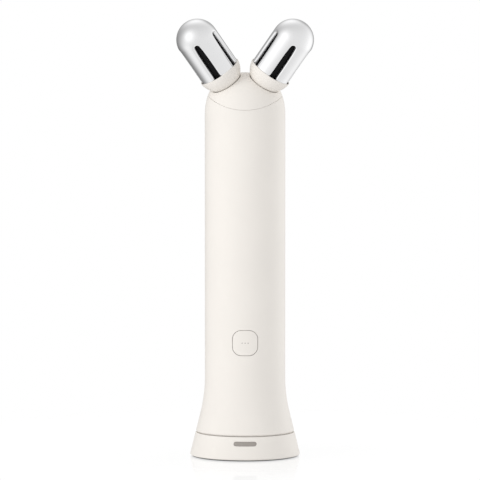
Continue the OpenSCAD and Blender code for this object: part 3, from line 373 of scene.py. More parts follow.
class Skin:
    """Grids of points that together make one closed surface.

    Where the grids lead all the way around, their last column is joined to the first.
    """

    def __init__(self, around=True):
        self.around, self.points, self.faces, self.count = around, [], [], 0

    def add(self, *grids, holes=()):
        """Joins each row of each grid to the next in quads.

        The quads of a hole, given as its rows and columns of points, are left out.
        """
        for grid in grids:
            rows, columns = grid.shape[:2]
            at = np.arange(rows * columns).reshape(rows, columns) + self.count
            if self.around:
                at = np.hstack([at, at[:, :1]])
            keep = np.ones((rows - 1, at.shape[1] - 1), bool)
            for r, c in holes:
                keep[r.start:r.stop - 1, c.start:c.stop - 1] = False
            quads = np.stack([at[:-1, :-1], at[:-1, 1:], at[1:, 1:], at[1:, :-1]], -1)
            self.points.append(grid.reshape(-1, 3))
            self.faces.append(quads[keep])
            self.count += rows * columns

    def revolve(self, profile, turn):
        """Carries a profile of (radius, height) around the Z axis."""
        self.add(ring(profile[:, :1], profile[:, 1:], turn))

    def moved(self, place):
        """A skin whose points are carried through a function."""
        other = Skin()
        other.points = [place(p) for p in self.points]
        other.faces, other.count = list(self.faces), self.count
        return other

    def with_mirror(self):
        """The skin and its mirror image across the plane between left and right."""
        other = Skin()
        other.points = self.points + [p * [-1, 1, 1] for p in self.points]
        other.faces = self.faces + [f[:, ::-1] + self.count for f in self.faces]
        other.count = 2 * self.count
        return other

    def make(self, name, slot, body, nodes, true_normals=None):
        """Makes the piece: merges rows that meet, turns the faces outwards and smooths them.

        A vertex's normal is the mean of its faces' normals, weighted by their area, so that
        a large face stays flat beside a narrow rounding. true_normals, if given, returns
        which points lie on a known surface, that surface's normals, and how far each
        point is polished.
        """
        mesh = bpy.data.meshes.new(name)
        faces = np.concatenate(self.faces).tolist()
        mesh.from_pydata(np.concatenate(self.points), [], faces)
        work = bmesh.new()
        work.from_mesh(mesh)
        bmesh.ops.remove_doubles(work, verts=work.verts, dist=1e-6)
        bmesh.ops.recalc_face_normals(work, faces=work.faces)
        loose = sum(not e.is_manifold for e in work.edges)
        work.to_mesh(mesh)
        work.free()
        if loose:
            raise RuntimeError(f"{name} isn't closed: {loose} edges are open")
        mesh.shade_smooth()
        area = read(mesh.polygons, "area", 1)
        normal = read(mesh.polygons, "normal", 3).reshape(-1, 3)
        corners = read(mesh.polygons, "loop_total", 1, np.int32)
        vertex = read(mesh.loops, "vertex_index", 1, np.int32)
        points = read(mesh.vertices, "co", 3).reshape(-1, 3)
        share = np.repeat(normal * area[:, None], corners, axis=0)
        total = np.stack(
            [np.bincount(vertex, share[:, i], len(points)) for i in range(3)], 1)
        total /= np.maximum(np.linalg.norm(total, axis=1, keepdims=True), 1e-20)
        if true_normals:
            known, exact, polished = true_normals(points)
            total = np.where(known[:, None], exact, total)
            polish = mesh.attributes.new("polish", "FLOAT", "POINT")
            polish.data.foreach_set("value", polished.astype(np.float32))
        mesh.normals_split_custom_set_from_vertices(total.tolist())
        piece = in_scene(name, mesh)
        mesh.materials.append(finish(slot))
        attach(piece, body)
        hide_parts(*nodes)


def in_scene(name, data):
    """An object that holds the data, linked to the scene."""
    made = bpy.data.objects.new(name, data)
    bpy.context.scene.collection.objects.link(made)
    return made


def read(items, field, size, kind=np.float64):
    """One field of a whole collection as an array."""
    out = np.empty(len(items) * size, kind)
    items.foreach_get(field, out)
    return out


def cut_opening(skin, outside, inside, turns, heights, centre, shape, edge, facing):
    """Fills a rectangle left out of a round wall with rings that lead in to an opening.

    Seen from outside, the rings are mixes of the rectangle's border and the opening's
    edge. They are laid on the wall, whose depth at u from the middle is
    sqrt(r(z)^2 - u^2), and joined through it. facing is 1 at the front, -1 at the back.
    """
    t, z = rectangle(turns, heights)
    u = outside(z) * np.sin(t)
    direction = np.arctan2(z - centre, u)

    def at_edge(grow):
        reach = shape(direction, grow)
        return reach * np.cos(direction), centre + reach * np.sin(direction)

    def laid(radius, u, z, sunk=0.0):
        depth = np.sqrt(radius(z) ** 2 - u**2) - sunk
        return np.stack([facing * u, -facing * depth, z], -1)

    mix = gathered(9)
    u1, z1 = at_edge(edge)
    u0, z0 = at_edge(0.0)
    u2 = inside(z) * np.sin(t)
    lip = laid(outside, u0, z0, edge)
    skin.add(laid(outside, u + (u1 - u) * mix, z + (z1 - z) * mix),
             bend(laid(outside, u1, z1), laid(outside, u0, z0), lip),
             np.stack([lip, laid(inside, u0, z0)]),
             laid(inside, u0 + (u2 - u0) * mix, z0 + (z - z0) * mix))


def full_turn(columns):
    """Angles of evenly spaced columns around an axis."""
    return np.arange(columns) * 2 * np.pi / columns


# ------------------------------------------------------------------ the handle


def build_handle(device):
    """The handle's shell: the outline, an even wall and the opening for the button.

    Above the grip each column climbs in equal steps to its own height on the cap's seam.
    """
    s, b = device.handle, device.button
    out = Outline(s)
    turn = full_turn(COLUMNS)
    half = 18
    middle = COLUMNS * 3 // 4
    front = slice(middle - half, middle + half + 1)
    reach = b.width * 0.705  # Leaves room around the button for the rings
    below_dome = 4 * MM
    low, high = b.height - reach, b.height + reach
    foot = np.linspace(s.rim + s.edge, low, 60)
    band = np.linspace(low, high, 2 * half + 1)
    grip = np.linspace(high, s.shoulder - below_dome, 60)
    hole = [(slice(0, 2 * half + 1), front)]
    skin = Skin()
    skin.add(out.rings(foot, turn), out.rings(grip, turn))
    skin.add(out.rings(band, turn), holes=hole)
    last = grip[-1]
    corner = out.seam_ring(turn, 0.0, s.seam_gap)
    climb_z = last + (corner[:, 2] - s.edge - last) * np.linspace(0, 1, 31)[:, None]
    climb = ring(out.radius(climb_z), climb_z, turn)
    inward = corner * [1, 1, 0] * (1 - s.edge / s.radius)
    inward[:, 2] = out.seam(inward[:, 0], s.seam_gap)
    inner = out.seam_ring(turn, s.wall, s.seam_gap)
    inside = out.rings(grip[::-1], turn, s.wall)
    skin.add(climb, bend(climb[-1], corner, inward), np.stack([inward, inner]),
             blend(inner, inside[0], 9), inside, out.rings(foot[::-1], turn, s.wall))
    skin.add(out.rings(band[::-1], turn, s.wall), holes=hole)
    rim_radius = out.radius(s.rim)
    rim_rows = rounded([
        (out.radius(foot[0], s.wall), foot[0], 0),
        (rim_radius - s.wall, s.lip_end, 0),
        (rim_radius - s.lip, s.lip_end, 0),
        (rim_radius - s.lip, s.rim, 0),
        (rim_radius, s.rim, s.edge),
        (out.radius(foot[0]), foot[0], 0)])
    skin.revolve(rim_rows, turn)
    cut_opening(
        skin, out.radius, lambda z: out.radius(z, s.wall), turn[front] - 1.5 * np.pi, band,
        b.height, rounded_square(b.width / 2 + b.gap, b.corner + b.gap), b.edge * 0.5, 1)
    skin.make("handle_skin", "cream_plastic", "handle", ["handle_shell"])


def roller_place(r):
    """What turns points on the right roller's own axes into place, and those axes.

    The third axis runs along the roller.
    """
    v, l = r.half_angle, r.lean
    aside = np.array([[np.cos(v), 0, np.sin(v)], [0, 1, 0], [-np.sin(v), 0, np.cos(v)]])
    forward = np.array([[1, 0, 0], [0, np.cos(l), -np.sin(l)], [0, np.sin(l), np.cos(l)]])
    both = forward @ aside
    return lambda p: p @ both.T + [0, -r.forward, r.meeting], both.T


def build_cap(device):
    """The head cap: the dome above the seam with two bowls for the rollers' cups.

    The right half of the dome is a grid between the bowl's rim and a border that runs
    over the top and back along the seam, laid on the dome. The rim is where the bowl's
    sphere meets the dome, found by halving the angle from the bowl's middle.
    """
    s, r = device.handle, device.rollers
    out = Outline(s)
    place, (side_u, side_v, along) = roller_place(r)
    middle = place(np.array([0, 0, r.ball]))
    bowl = r.radius + r.cup_wall + r.socket_gap
    turn = np.linspace(np.pi / 2, -np.pi / 2, 91)
    seam_top = out.seam_ring(turn, 0.0, -s.edge)
    start = np.arctan2(seam_top[-1, 2] - s.shoulder, -seam_top[-1, 1])
    lift = np.linspace(start, np.pi - start, 91)
    over = np.stack([0 * lift, -np.cos(lift), np.sin(lift)], -1) * s.radius
    over = out.onto_dome(over + [0, 0, s.shoulder])
    border = np.concatenate([over[:-1], seam_top])
    from_middle = border - middle
    way = np.arctan2(from_middle @ side_v, from_middle @ side_u)
    outward = np.cos(way)[:, None] * side_u + np.sin(way)[:, None] * side_v

    def on_bowl(tilt):
        tilt = np.asarray(tilt)[..., None]
        return middle + bowl * (np.sin(tilt) * outward - np.cos(tilt) * along)

    widest = 1.9  # Angle from the bowl's bottom that lies outside the dome everywhere
    near, far = np.zeros(len(way)), np.full(len(way), widest)
    for _ in range(45):
        half = (near + far) / 2
        inside = out.fullness(on_bowl(half)) < 1
        near, far = np.where(inside, half, near), np.where(inside, far, half)
    rim = on_bowl(near)
    reach = np.linalg.norm(border - rim, axis=1)
    first = (s.edge * 1.5 / reach)[:, None]
    share = np.linspace(0, 1, 31)[:, None, None] ** 1.4
    share = first + (1 - first) * share
    dome = out.onto_dome(rim + (border - rim) * share)
    dome[-1] = border
    low_tilt = near - s.edge / bowl
    bowl_rows = on_bowl(low_tilt * np.linspace(1, 0, 21)[:, None])
    corner = out.seam_ring(turn)
    inward = corner * [1, 1, 0] * (1 - s.edge / s.radius)
    inward[:, 2] = out.seam(inward[:, 0])
    skirt = out.seam_ring(turn, s.skirt_inset)
    outer, inner = s.radius - s.skirt_inset, s.radius - s.skirt_inset - s.skirt_wall
    shoulder = ring(outer, s.shoulder, turn)
    skirt_edge, ceiling_edge = 0.4 * MM, 3 * MM
    hollow = rounded([
        (outer, s.shoulder, 0), (outer, s.skirt, skirt_edge), (inner, s.skirt, skirt_edge),
        (inner, s.ceiling, ceiling_edge), (0, s.ceiling, 0)])
    skin = Skin(around=False)
    skin.add(dome, bend(dome[0], rim, bowl_rows[0]), bowl_rows,
             bend(seam_top, corner, inward), np.stack([inward, skirt]),
             blend(skirt, shoulder, 5), ring(hollow[:, :1], hollow[:, 1:], turn))
    skin.with_mirror().make("cap_skin", "cream_plastic", "handle", ["head_cap"])


# ------------------------------------------------------------------ the rollers


def slot_border(wide, half, taper, low, high, grow, sides, arcs, top):
    """The slot's edge, point for point against the border of its part of the cylinder.

    It is a strip between two heights, as (sideways, height), that ends in a half circle.
    Its width falls with a power of the height, called the taper, and it grows less at its
    foot, which the cup hides. The arc's points at the sides and at the top are counted
    apart.
    """
    h = half + grow
    corner = 0.6  # Angle up to which the arc's points are those of the side
    most_foot_grow = 0.5 * MM
    foot = low - min(grow, most_foot_grow)
    up = np.linspace(foot, high, sides + 1)
    side = wide + grow + (half - wide) * np.linspace(0, 1, sides + 1) ** taper
    bottom = np.linspace(-side[0], side[0], top + 1)
    a1 = np.linspace(0, corner, arcs + 1)
    a2 = np.linspace(corner, np.pi - corner, top + 1)
    a3 = np.linspace(np.pi - corner, np.pi, arcs + 1)
    across = np.concatenate([
        bottom[:-1], side[:-1], h * np.cos(a1[:-1]), h * np.cos(a2[:-1]),
        h * np.cos(a3[:-1]), -side[:0:-1]])
    height = np.concatenate([
        np.full(top, foot), up[:-1], high + h * np.sin(a1[:-1]),
        high + h * np.sin(a2[:-1]), high + h * np.sin(a3[:-1]), up[:0:-1]])
    return across, height


def electrode_skin(r):
    """The chrome electrode on its own axes: a capsule with slots and a hollow inside.

    Its radius is even up to the dome and sqrt(r^2 - h^2) at height h above the dome's
    start. Each slot has its own part of the surface, which reaches a little way onto the
    dome. A grid leads from the part's border to the slot's edge, mixed in angle and
    height, and the slot's rounded sides join the outer surface to the inner one.
    """
    outer, inner = r.radius, r.radius - r.wall
    seat, dome = r.ball - r.rim_drop - r.seat, r.ball + r.straight
    foot = seat - r.spigot
    top, sides, arcs = 20, 24, 6
    part = np.pi / r.slots
    turns = np.linspace(-part, part, top + 1)
    half, tip = r.slot_width / 2, r.slot_tip / 2
    slot_lift, above_arc, onto_dome = 0.6 * MM, 0.4 * MM, 3.0 * MM
    high = dome - r.slot_gap - tip
    low, summit = seat + slot_lift, dome + onto_dome
    heights = np.concatenate([
        np.linspace(seat, high + above_arc, sides + 1)[:-1],
        np.linspace(high + above_arc, summit, arcs + 1)])
    t, z = rectangle(turns, heights)
    mix = gathered(10)
    skin = Skin()
    w1, z1 = slot_border(half, tip, r.slot_taper, low, high, r.edge, sides, arcs, top)
    w0, z0 = slot_border(half, tip, r.slot_taper, low, high, 0.0, sides, arcs, top)
    first = r.slot_turn - np.pi / 2

    def wide(radius, z):
        return np.sqrt(radius**2 - np.maximum(z - dome, 0) ** 2)

    for i in range(r.slots):
        turn = first + 2 * np.pi * i / r.slots

        def spread(radius, w, z, sunk=0.0, turn=turn):
            depth = np.sqrt(wide(radius, z) ** 2 - w**2) - sunk
            return np.stack([depth * np.cos(turn) - w * np.sin(turn),
                             depth * np.sin(turn) + w * np.cos(turn), z], -1)

        def leading(radius, w, z_edge):
            at = z + (z_edge - z) * mix
            edge_t = np.arcsin(w / wide(radius, z_edge))
            return ring(wide(radius, at), at, turn + t + (edge_t - t) * mix)

        lip = spread(outer, w0, z0, r.edge)
        skin.add(leading(outer, w1, z1),
                 bend(spread(outer, w1, z1), spread(outer, w0, z0), lip, 10),
                 np.stack([lip, spread(inner, w0, z0)]),
                 leading(inner, w0, z0))
    around = first + full_turn(r.slots * top)
    for radius in (outer, inner):
        rise = np.linspace(np.arcsin((summit - dome) / radius), np.pi / 2, 31)
        skin.revolve(np.stack([radius * np.cos(rise), dome + radius * np.sin(rise)], -1),
                     around)
    spigot = (outer + inner) / 2
    skin.revolve(np.array([[outer, seat], [spigot, seat], [spigot, foot], [inner, foot],
                           [inner, seat]]), around)
    return skin


def cup_skin(r):
    """The cream cup: half a ball with bores for the axle, bush, core and electrode.

    The profile follows the ball, r = b sin(tilt) and z = middle - b cos(tilt), from the
    rim to the axle's bore, and is carried around the axis.
    """
    ball = r.radius + r.cup_wall
    rim = r.ball - r.rim_drop
    seat = rim - r.seat
    foot = seat - r.spigot
    spigot = r.radius - r.wall / 2
    bottom, top = np.arcsin(r.axle / ball), np.arccos(r.rim_drop / ball)
    tilt = np.linspace(top, bottom, 41)
    sphere = np.stack([ball * np.sin(tilt), r.ball - ball * np.cos(tilt), 0 * tilt], -1)
    core_seat, bush_shelf, fit = 0.8 * MM, 1.2 * MM, 0.03 * MM
    floor, under = foot - core_seat, r.ball - ball + bush_shelf
    corners = [
        (r.radius + fit, seat, 0), (r.radius + fit, rim, r.cup_edge * 0.5),
        (sphere[0, 0], rim, r.cup_edge)] + sphere[1:].tolist() + [
        (r.axle, under, 0), (r.bush, under, 0),
        (r.bush, floor, 0), (r.core, floor, 0), (r.core, foot, 0),
        (spigot + fit, foot, 0), (spigot + fit, seat, 0), (r.radius + fit, seat, 0)]
    skin = Skin()
    skin.revolve(rounded(corners), full_turn(144))
    return skin


def build_rollers(device):
    """Both rollers: the right one is set on its axis, and the left one mirrors it."""
    r = device.rollers
    place, (_, _, along) = roller_place(r)
    start = place(np.array([0, 0, r.ball + r.straight]))
    for side, flip in (("right", 1), ("left", -1)):
        centre, axis = start * [flip, 1, 1], along * [flip, 1, 1]

        def capsule(points, centre=centre, axis=axis):
            """Away from the axis on the straight part, away from the centre on the dome."""
            off = points - centre
            lift = off @ axis
            off -= np.minimum(lift, 0)[:, None] * axis
            far = np.linalg.norm(off, axis=1)
            known = (np.abs(far - r.radius) < 2e-6) & (
                lift > -r.straight - r.rim_drop - r.seat)
            polished = np.clip(1 - (r.radius - far) / r.edge, 0, 1)
            return known, off / np.maximum(far, 1e-9)[:, None], polished

        def put(points, flip=flip):
            return place(points) * [flip, 1, 1]

        body = f"{side}_roller"
        electrode_skin(r).moved(put).make(
            f"{side}_chrome", "chrome", body, [f"{side}_electrode"], capsule)
        cup_skin(r).moved(put).make(
            f"{side}_cup_skin", "cream_plastic", body, [f"{side}_cup"])


# ------------------------------------------------------------------ the button


def build_button(device):
    """The power button and its three dots.

    The button's face is rings shrunk from its outline to its middle, laid on the grip's
    cylinder. It has a rounded edge, straight sides and a flange behind the shell.
    """
    s, b = device.handle, device.button
    direction = full_turn(192)
    shape = rounded_square(b.width / 2, b.corner)
    face = s.radius - b.recess

    def loop(grow, depth, shrink=1.0):
        reach = shape(direction, grow) * shrink
        u, z = reach * np.cos(direction), reach * np.sin(direction)
        depth = np.sqrt(face**2 - u**2) if depth is None else np.full_like(u, depth)
        return np.stack([u, -depth, b.height + z], -1)

    edge = loop(0.0, None) + [0, b.edge, 0]
    rows = [loop(-b.edge, None, t) for t in np.linspace(0, 1, 17)]
    skin = Skin()
    skin.add(np.stack(rows), bend(rows[-1], loop(0.0, None), edge, 5),
             np.stack([edge, loop(0.0, b.front), loop(b.flange, b.front),
                       loop(b.flange, b.back), loop(0.0, b.back, 0.0)]))
    skin.make("button_skin", "cream_plastic", "button", ["power_button"])

    turn = full_turn(32)
    tilt = np.linspace(0, np.pi / 2, 6)[:, None]
    bulge, rooted, sunk = 0.05 * MM, 0.4 * MM, 0.01 * MM
    dots = Skin()
    for i in (-1, 0, 1):
        x = i * b.pitch
        front = np.sqrt(face**2 - x**2) - sunk
        u = x + b.dot * np.sin(tilt) * np.cos(turn)
        z = b.height + b.dot * np.sin(tilt) * np.sin(turn)
        y = -(front + bulge * np.cos(tilt)) + 0 * turn
        dome = np.stack([u, y, z], -1)
        back = dome[-1] * [1, 0, 1] - [0, front - rooted, 0]
        dots.add(np.concatenate([dome, back[None], (0 * back + back.mean(0))[None]]))
    dots.make("dot_lenses", "light_diffuser", "button", ["button_dots"])


# ------------------------------------------------------------------ the dock


def build_dock(device):
    """The dock's shell: a flared wall with a rounded foot, a deck and the keyed boss.

    Each row goes around the axis. On the boss the radius is cut off by its flat, so it is
    the smaller of the boss's radius and flat / sin(turn).
    """
    d = device.dock
    out = Outline(device.handle)
    turn = full_turn(COLUMNS)
    mid_z = d.base + d.round
    mid_r = out.s.floor_radius - mid_z * out.slope - d.round / np.cos(out.s.flare)
    arc_end = mid_z + d.round * np.sin(out.s.flare)
    inlet_space, light_space, deck_step = 2.48 * MM, 1.8 * MM, 0.6 * MM
    bounds = [arc_end, d.inlet - inlet_space, d.light - light_space,
              d.inlet + inlet_space, d.light + light_space, d.height - d.edge]
    counts = (3, 4, 5, 3, 4)
    rows = np.concatenate([np.linspace(low, high, count, endpoint=False) for
                           low, high, count in zip(bounds, bounds[1:], counts)]
                          + [bounds[-1:]])
    at = np.cumsum(counts)
    front, back = COLUMNS * 3 // 4, COLUMNS // 4
    fit = 2 * d.light_fit
    openings = (
        (slice(at[1], at[3] + 1), slice(front - 12, front + 13), 1.5 * np.pi, d.light,
         long_slot(d.light_width + fit, d.light_height + fit), 1),
        (slice(at[0], at[2] + 1), slice(back - 11, back + 12), 0.5 * np.pi, d.inlet,
         long_slot(d.inlet_width, d.inlet_height), -1))
    inside = out.rings(rows, turn, d.wall)
    skin = Skin()
    skin.add(out.rings(rows, turn), inside, holes=[o[:2] for o in openings])
    for r, c, facing_turn, middle, shape, facing in openings:
        cut_opening(skin, out.radius, lambda z: out.radius(z, d.wall),
                    turn[c] - facing_turn, rows[r], middle, shape, d.slot_edge, facing)

    t = np.radians(-90) + (np.radians(90) + out.s.flare) * np.linspace(0, 1, 13)
    arc = np.stack([mid_r + d.round * np.cos(t), mid_z + d.round * np.sin(t)], -1)
    plate_radius = out.radius(d.base, d.wall + d.rim)
    under = np.array([
        [out.radius(rows[0], d.wall), rows[0]], [out.radius(d.plate, d.wall), d.plate],
        [plate_radius, d.plate], [plate_radius, d.base]])
    skin.revolve(np.concatenate([under, arc]), turn)

    def key(radius, flat):
        return np.minimum(radius, flat / np.maximum(np.sin(turn), 1e-6))

    def loop(radius, z):
        return ring(radius, z, turn)

    e = d.edge
    boss = key(d.boss, d.flat)
    rim = out.radius(d.height)
    deck_edge = bend(loop(out.radius(rows[-1:]), rows[-1:]), loop(rim, d.height),
                     loop(rim - e, d.height), 6)
    foot = bend(loop(boss + e, d.height), loop(boss, d.height), loop(boss, d.height + e))
    lip = bend(loop(boss, d.boss_top - e), loop(boss, d.boss_top),
               loop(boss - e, d.boss_top))
    top = loop(boss - e, d.boss_top)
    under_z = d.height - d.deck
    hollow = key(d.boss - d.deck, d.flat - d.deck)
    skin.add(deck_edge, blend(deck_edge[-1], foot[0], 5), foot, np.stack([foot[-1], lip[0]]),
             lip, blend(top, top * [0, 0, 1], 6),
             np.stack([inside[-1], loop(out.radius(rows[-1], d.wall) - deck_step, under_z),
                       loop(hollow, under_z), loop(hollow, d.boss_top - d.deck),
                       loop(0 * hollow, d.boss_top - d.deck)]))
    return skin


def build_light_bar(device):
    """The light bar: rings laid just below the dock's wall, a soft edge and a plain back."""
    d = device.dock
    out = Outline(device.handle)
    direction = full_turn(160)
    shape = long_slot(d.light_width, d.light_height)
    edge, depth_of_bar = 0.12 * MM, 3 * MM

    def loop(grow, sunk, shrink=1.0, depth=None):
        reach = shape(direction, grow) * shrink
        u, z = reach * np.cos(direction), d.light + reach * np.sin(direction)
        front = np.sqrt((out.radius(z) - d.light_recess) ** 2 - u**2) - sunk
        return np.stack([u, -(front if depth is None else depth + 0 * front), z], -1)

    back = -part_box("light_bar")[0].y - depth_of_bar
    rows = [loop(-edge, 0.0, t) for t in np.linspace(0, 1, 9)]
    skin = Skin()
    skin.add(np.stack(rows), bend(rows[-1], loop(0.0, 0.0), loop(0.0, edge)),
             np.stack([loop(0.0, edge), loop(0.0, 0.0, depth=back),
                       loop(0.0, 0.0, 0.0, depth=back)]))
    return skin


# ------------------------------------------------------------------ finishes


class Value:
    """A number that varies over a surface. Plain arithmetic on it adds Math nodes."""

    def __init__(self, nodes, socket):
        self.nodes, self.socket = nodes, socket

    def math(self, operation, *others):
        inputs = dict(enumerate((self,) + others))
        return self.nodes.add("ShaderNodeMath", {"operation": operation}, inputs)[0]

    def __add__(self, other):
        return self.math("ADD", other)

    def __sub__(self, other):
        return self.math("SUBTRACT", other)

    def __mul__(self, other):
        return self.math("MULTIPLY", other)

    def __rsub__(self, other):
        return (self * -1.0) + other

    __radd__ = __add__
    __rmul__ = __mul__

    def step(self, low, high):
        """A soft step from 0 to 1 between two values."""
        inputs = {"Value": self, "From Min": low, "From Max": high}
        settings = {"interpolation_type": "SMOOTHSTEP"}
        return self.nodes.add("ShaderNodeMapRange", settings, inputs)[0]


class Nodes:
    """A node tree that is filled by calls."""

    def __init__(self, tree):
        self.tree = tree
        tree.nodes.clear()

    def add(self, kind, settings=None, inputs=None):
        """Adds a node: its settings first, then the values or links of its sockets.
        Returns its outputs."""
        node = self.tree.nodes.new(kind)
        for name, value in (settings or {}).items():
            setattr(node, name, value)
        for name, value in (inputs or {}).items():
            socket = node.inputs[name]
            if isinstance(value, Value):
                self.tree.links.new(value.socket, socket)
            else:
                socket.default_value = value
        return [Value(self, socket) for socket in node.outputs]

    def mix(self, share, a, b):
        """A colour between a and b."""
        return self.add("ShaderNodeMix", {"data_type": "RGBA"}, {0: share, 6: a, 7: b})[2]

    def shades(self, share, c, low, high):
        """A colour between two shades of a plain one."""
        return self.mix(share, shade(c, low), shade(c, high))

    def place(self):
        """Where the point lies, in metres."""
        return self.add("ShaderNodeTexCoord")[3]

    def noise(self, place, scale, detail=2.0):
        """Soft noise around one half, with scale grains to the metre."""
        return self.add("ShaderNodeTexNoise", None, {
            "Vector": place, "Scale": scale, "Detail": detail})[0]

    def bump(self, height, distance, strength=1.0):
        """A normal tilted by a height, whose full range is distance deep."""
        return self.add("ShaderNodeBump", None, {
            "Height": height, "Distance": distance, "Strength": strength})[0]

    def surface(self, **inputs):
        """The finish itself. An underscore in a name stands for a space."""
        inputs = {k.replace("_", " "): v for k, v in inputs.items()}
        return self.add("ShaderNodeBsdfPrincipled", None, inputs)[0]

    def output(self, shader, kind="ShaderNodeOutputMaterial"):
        self.add(kind, None, {"Surface": shader})


def shade(c, k):
    """A plain colour times k, with full alpha."""
    return (c[0] * k, c[1] * k, c[2] * k, 1.0)


def cream_plastic(n, p, c):
    """Satin moulding: a very fine grain, slight clouding and softly uneven gloss."""
    grain = n.noise(p, 5200.0, 2.0)
    cloud = n.noise(p, 45.0, 2.0)
    gloss = n.noise(p, 900.0, 1.0)
    return n.surface(
        Base_Color=n.shades(cloud.step(0.3, 0.7), c.cream, 0.985, 1.005),
        Roughness=gloss * 0.05 + 0.42,
        Specular_IOR_Level=0.25,
        Normal=n.bump(grain, 0.000012, 0.5))


def grey_plastic(n, p, c):
    """Moulded with a light spark-eroded texture and faint flow marks."""
    return n.surface(
        Base_Color=n.shades(n.noise(p, 120.0, 3.0), c.grey, 0.9, 1.08),
        Roughness=n.noise(p, 1500.0) * 0.15 + 0.45,
        Normal=n.bump(n.noise(p, 3500.0, 3.0), 0.00003, 0.6))


def black_plastic(n, p, c):
    """Deep black with a trace of grain."""
    return n.surface(
        Base_Color=n.shades(n.noise(p, 300.0, 3.0), c.black, 0.75, 1.3),
        Roughness=n.noise(p, 1200.0) * 0.12 + 0.42,
        Specular_IOR_Level=0.12,
        Normal=n.bump(n.noise(p, 4000.0), 0.00001, 0.5))


def light_diffuser(n, p, c):
    """Frosted lens, slightly cloudy."""
    return n.surface(
        Base_Color=n.shades(n.noise(p, 700.0, 3.0), c.diffuser, 0.93, 1.07),
        Roughness=n.noise(p, 2500.0) * 0.1 + 0.3,
        Coat_Weight=0.15,
        Normal=n.bump(n.noise(p, 6000.0), 0.000008, 0.5))


def rubber(n, p, c):
    """Soft rubber with a dusty bloom."""
    bloom = n.noise(p, 260.0, 4.0).step(0.45, 0.75)
    return n.surface(
        Base_Color=n.shades(bloom, c.rubber, 0.9, 1.5),
        Roughness=n.noise(p, 1800.0) * 0.1 + 0.72,
        Normal=n.bump(n.noise(p, 2600.0, 3.0), 0.00003, 0.6))


def chrome(n, p, c):
    """Polished plating: the faintest haze, and polishing marks far below a hair's width.

    The attribute is 1 where the plating is polished and 0 on the satin walls of the slots.
    """
    haze = n.noise(p, 90.0, 3.0).step(0.35, 0.75)
    satin = 1.0 - n.add("ShaderNodeAttribute", {"attribute_name": "polish"})[2]
    return n.surface(
        Base_Color=n.shades(haze, c.chrome, 1.0, 0.975),
        Metallic=1.0,
        Roughness=haze * 0.03 + n.noise(p, 2500.0) * 0.01 + 0.045 + satin * 0.4)


def steel(n, p, c):
    """Plated steel with fine turning marks and slight tarnish."""
    marks = n.add("ShaderNodeTexWave", {"wave_type": "RINGS", "rings_direction": "Z"}, {
        "Vector": p, "Scale": 900.0, "Distortion": 1.5, "Detail": 2.0})[1]
    return n.surface(
        Base_Color=n.shades(n.noise(p, 220.0, 4.0), c.steel, 0.86, 1.1),
        Metallic=1.0,
        Roughness=n.noise(p, 700.0) * 0.15 + 0.24,
        Normal=n.bump(marks, 0.000008, 0.4))


def gold(n, p, c):
    """Thin gold plating, slightly orange where it is thin."""
    thin = n.noise(p, 800.0, 3.0).step(0.5, 0.8)
    worn = (c.gold[0] * 0.93, c.gold[1] * 0.82, c.gold[2] * 0.72, 1.0)
    return n.surface(
        Base_Color=n.mix(thin, shade(c.gold, 1.0), worn),
        Metallic=1.0,
        Roughness=n.noise(p, 1500.0) * 0.1 + 0.2,
        Normal=n.bump(n.noise(p, 5000.0), 0.000006, 0.4))


def bronze(n, p, c):
    """Sintered bronze: open pores between bright grains, the pores painted darker as shade
    in the pits.
    """
    pores_and_painted_shade = n.add("ShaderNodeTexVoronoi", None, {"Vector": p, "Scale": 4500.0})[0]
    return n.surface(
        # The base colour is painted darker in the pits: painted shade in the pores.
        Base_Color=n.shades(pores_and_painted_shade.step(0.1, 0.6), c.bronze, 0.55, 1.15),
        Metallic=1.0,
        Roughness=pores_and_painted_shade * 0.25 + 0.35,
        Normal=n.bump(pores_and_painted_shade, 0.00004, 0.6))


def circuit_board(n, p, c):
    """Solder mask over tracks, with tinned pads in a staggered grid."""
    cell = n.add("ShaderNodeTexVoronoi", {"distance": "CHEBYCHEV"},
                 {"Vector": p, "Scale": 420.0})[0]
    tracks = n.add("ShaderNodeTexBrick", {"offset": 0.5}, {
        "Vector": p, "Scale": 260.0, "Mortar Size": 0.03, "Color1": (1, 1, 1, 1),
        "Color2": (0.8, 0.8, 0.8, 1), "Mortar": (0, 0, 0, 1)})[1]
    pads = 1.0 - cell.step(0.09, 0.13)
    mask = n.shades(tracks, c.board, 1.0, 2.1)
    return n.surface(
        Base_Color=n.mix(pads, mask, (0.62, 0.62, 0.6, 1.0)),
        Metallic=pads,
        Roughness=n.noise(p, 900.0) * 0.12 + 0.28,
        Normal=n.bump(tracks + pads, 0.00003, 0.5))


def film(n, p, c):
    """Amber film with copper lines showing through along its length."""
    lines = n.add("ShaderNodeTexWave", {"bands_direction": "X"}, {
        "Vector": p, "Scale": 320.0, "Distortion": 0.0})[1].step(0.45, 0.6)
    return n.surface(
        Base_Color=n.shades(lines, c.film, 0.75, 1.25),
        Roughness=n.noise(p, 800.0) * 0.15 + 0.25,
        Normal=n.bump(lines, 0.00002, 0.5))


def battery_sleeve(n, p, c):
    """Shrink sleeve with faint draw lines and a paler band near each end."""
    height = n.add("ShaderNodeSeparateXYZ", None, {"Vector": p})[2]
    low, high = (corner.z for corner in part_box("battery_cell"))
    ends = height.step(low + 0.002, low + 0.0015) + height.step(high - 0.002, high - 0.0015)
    wrinkle = n.add("ShaderNodeTexNoise", None, {
        "Vector": n.add("ShaderNodeMapping", None, {"Vector": p, "Scale": (1, 1, 0.1)})[0],
        "Scale": 900.0, "Detail": 3.0})[0]
    return n.surface(
        Base_Color=n.shades(ends, c.sleeve, 1.0, 1.9),
        Roughness=wrinkle * 0.15 + 0.22,
        Normal=n.bump(wrinkle, 0.00003, 0.5))


def wire(n, p, c):
    """Soft insulation with slight mottling."""
    return n.surface(
        Base_Color=n.shades(n.noise(p, 900.0, 3.0), c.wire, 0.85, 1.15),
        Roughness=n.noise(p, 1800.0) * 0.12 + 0.4,
        Normal=n.bump(n.noise(p, 3000.0), 0.00002, 0.5))


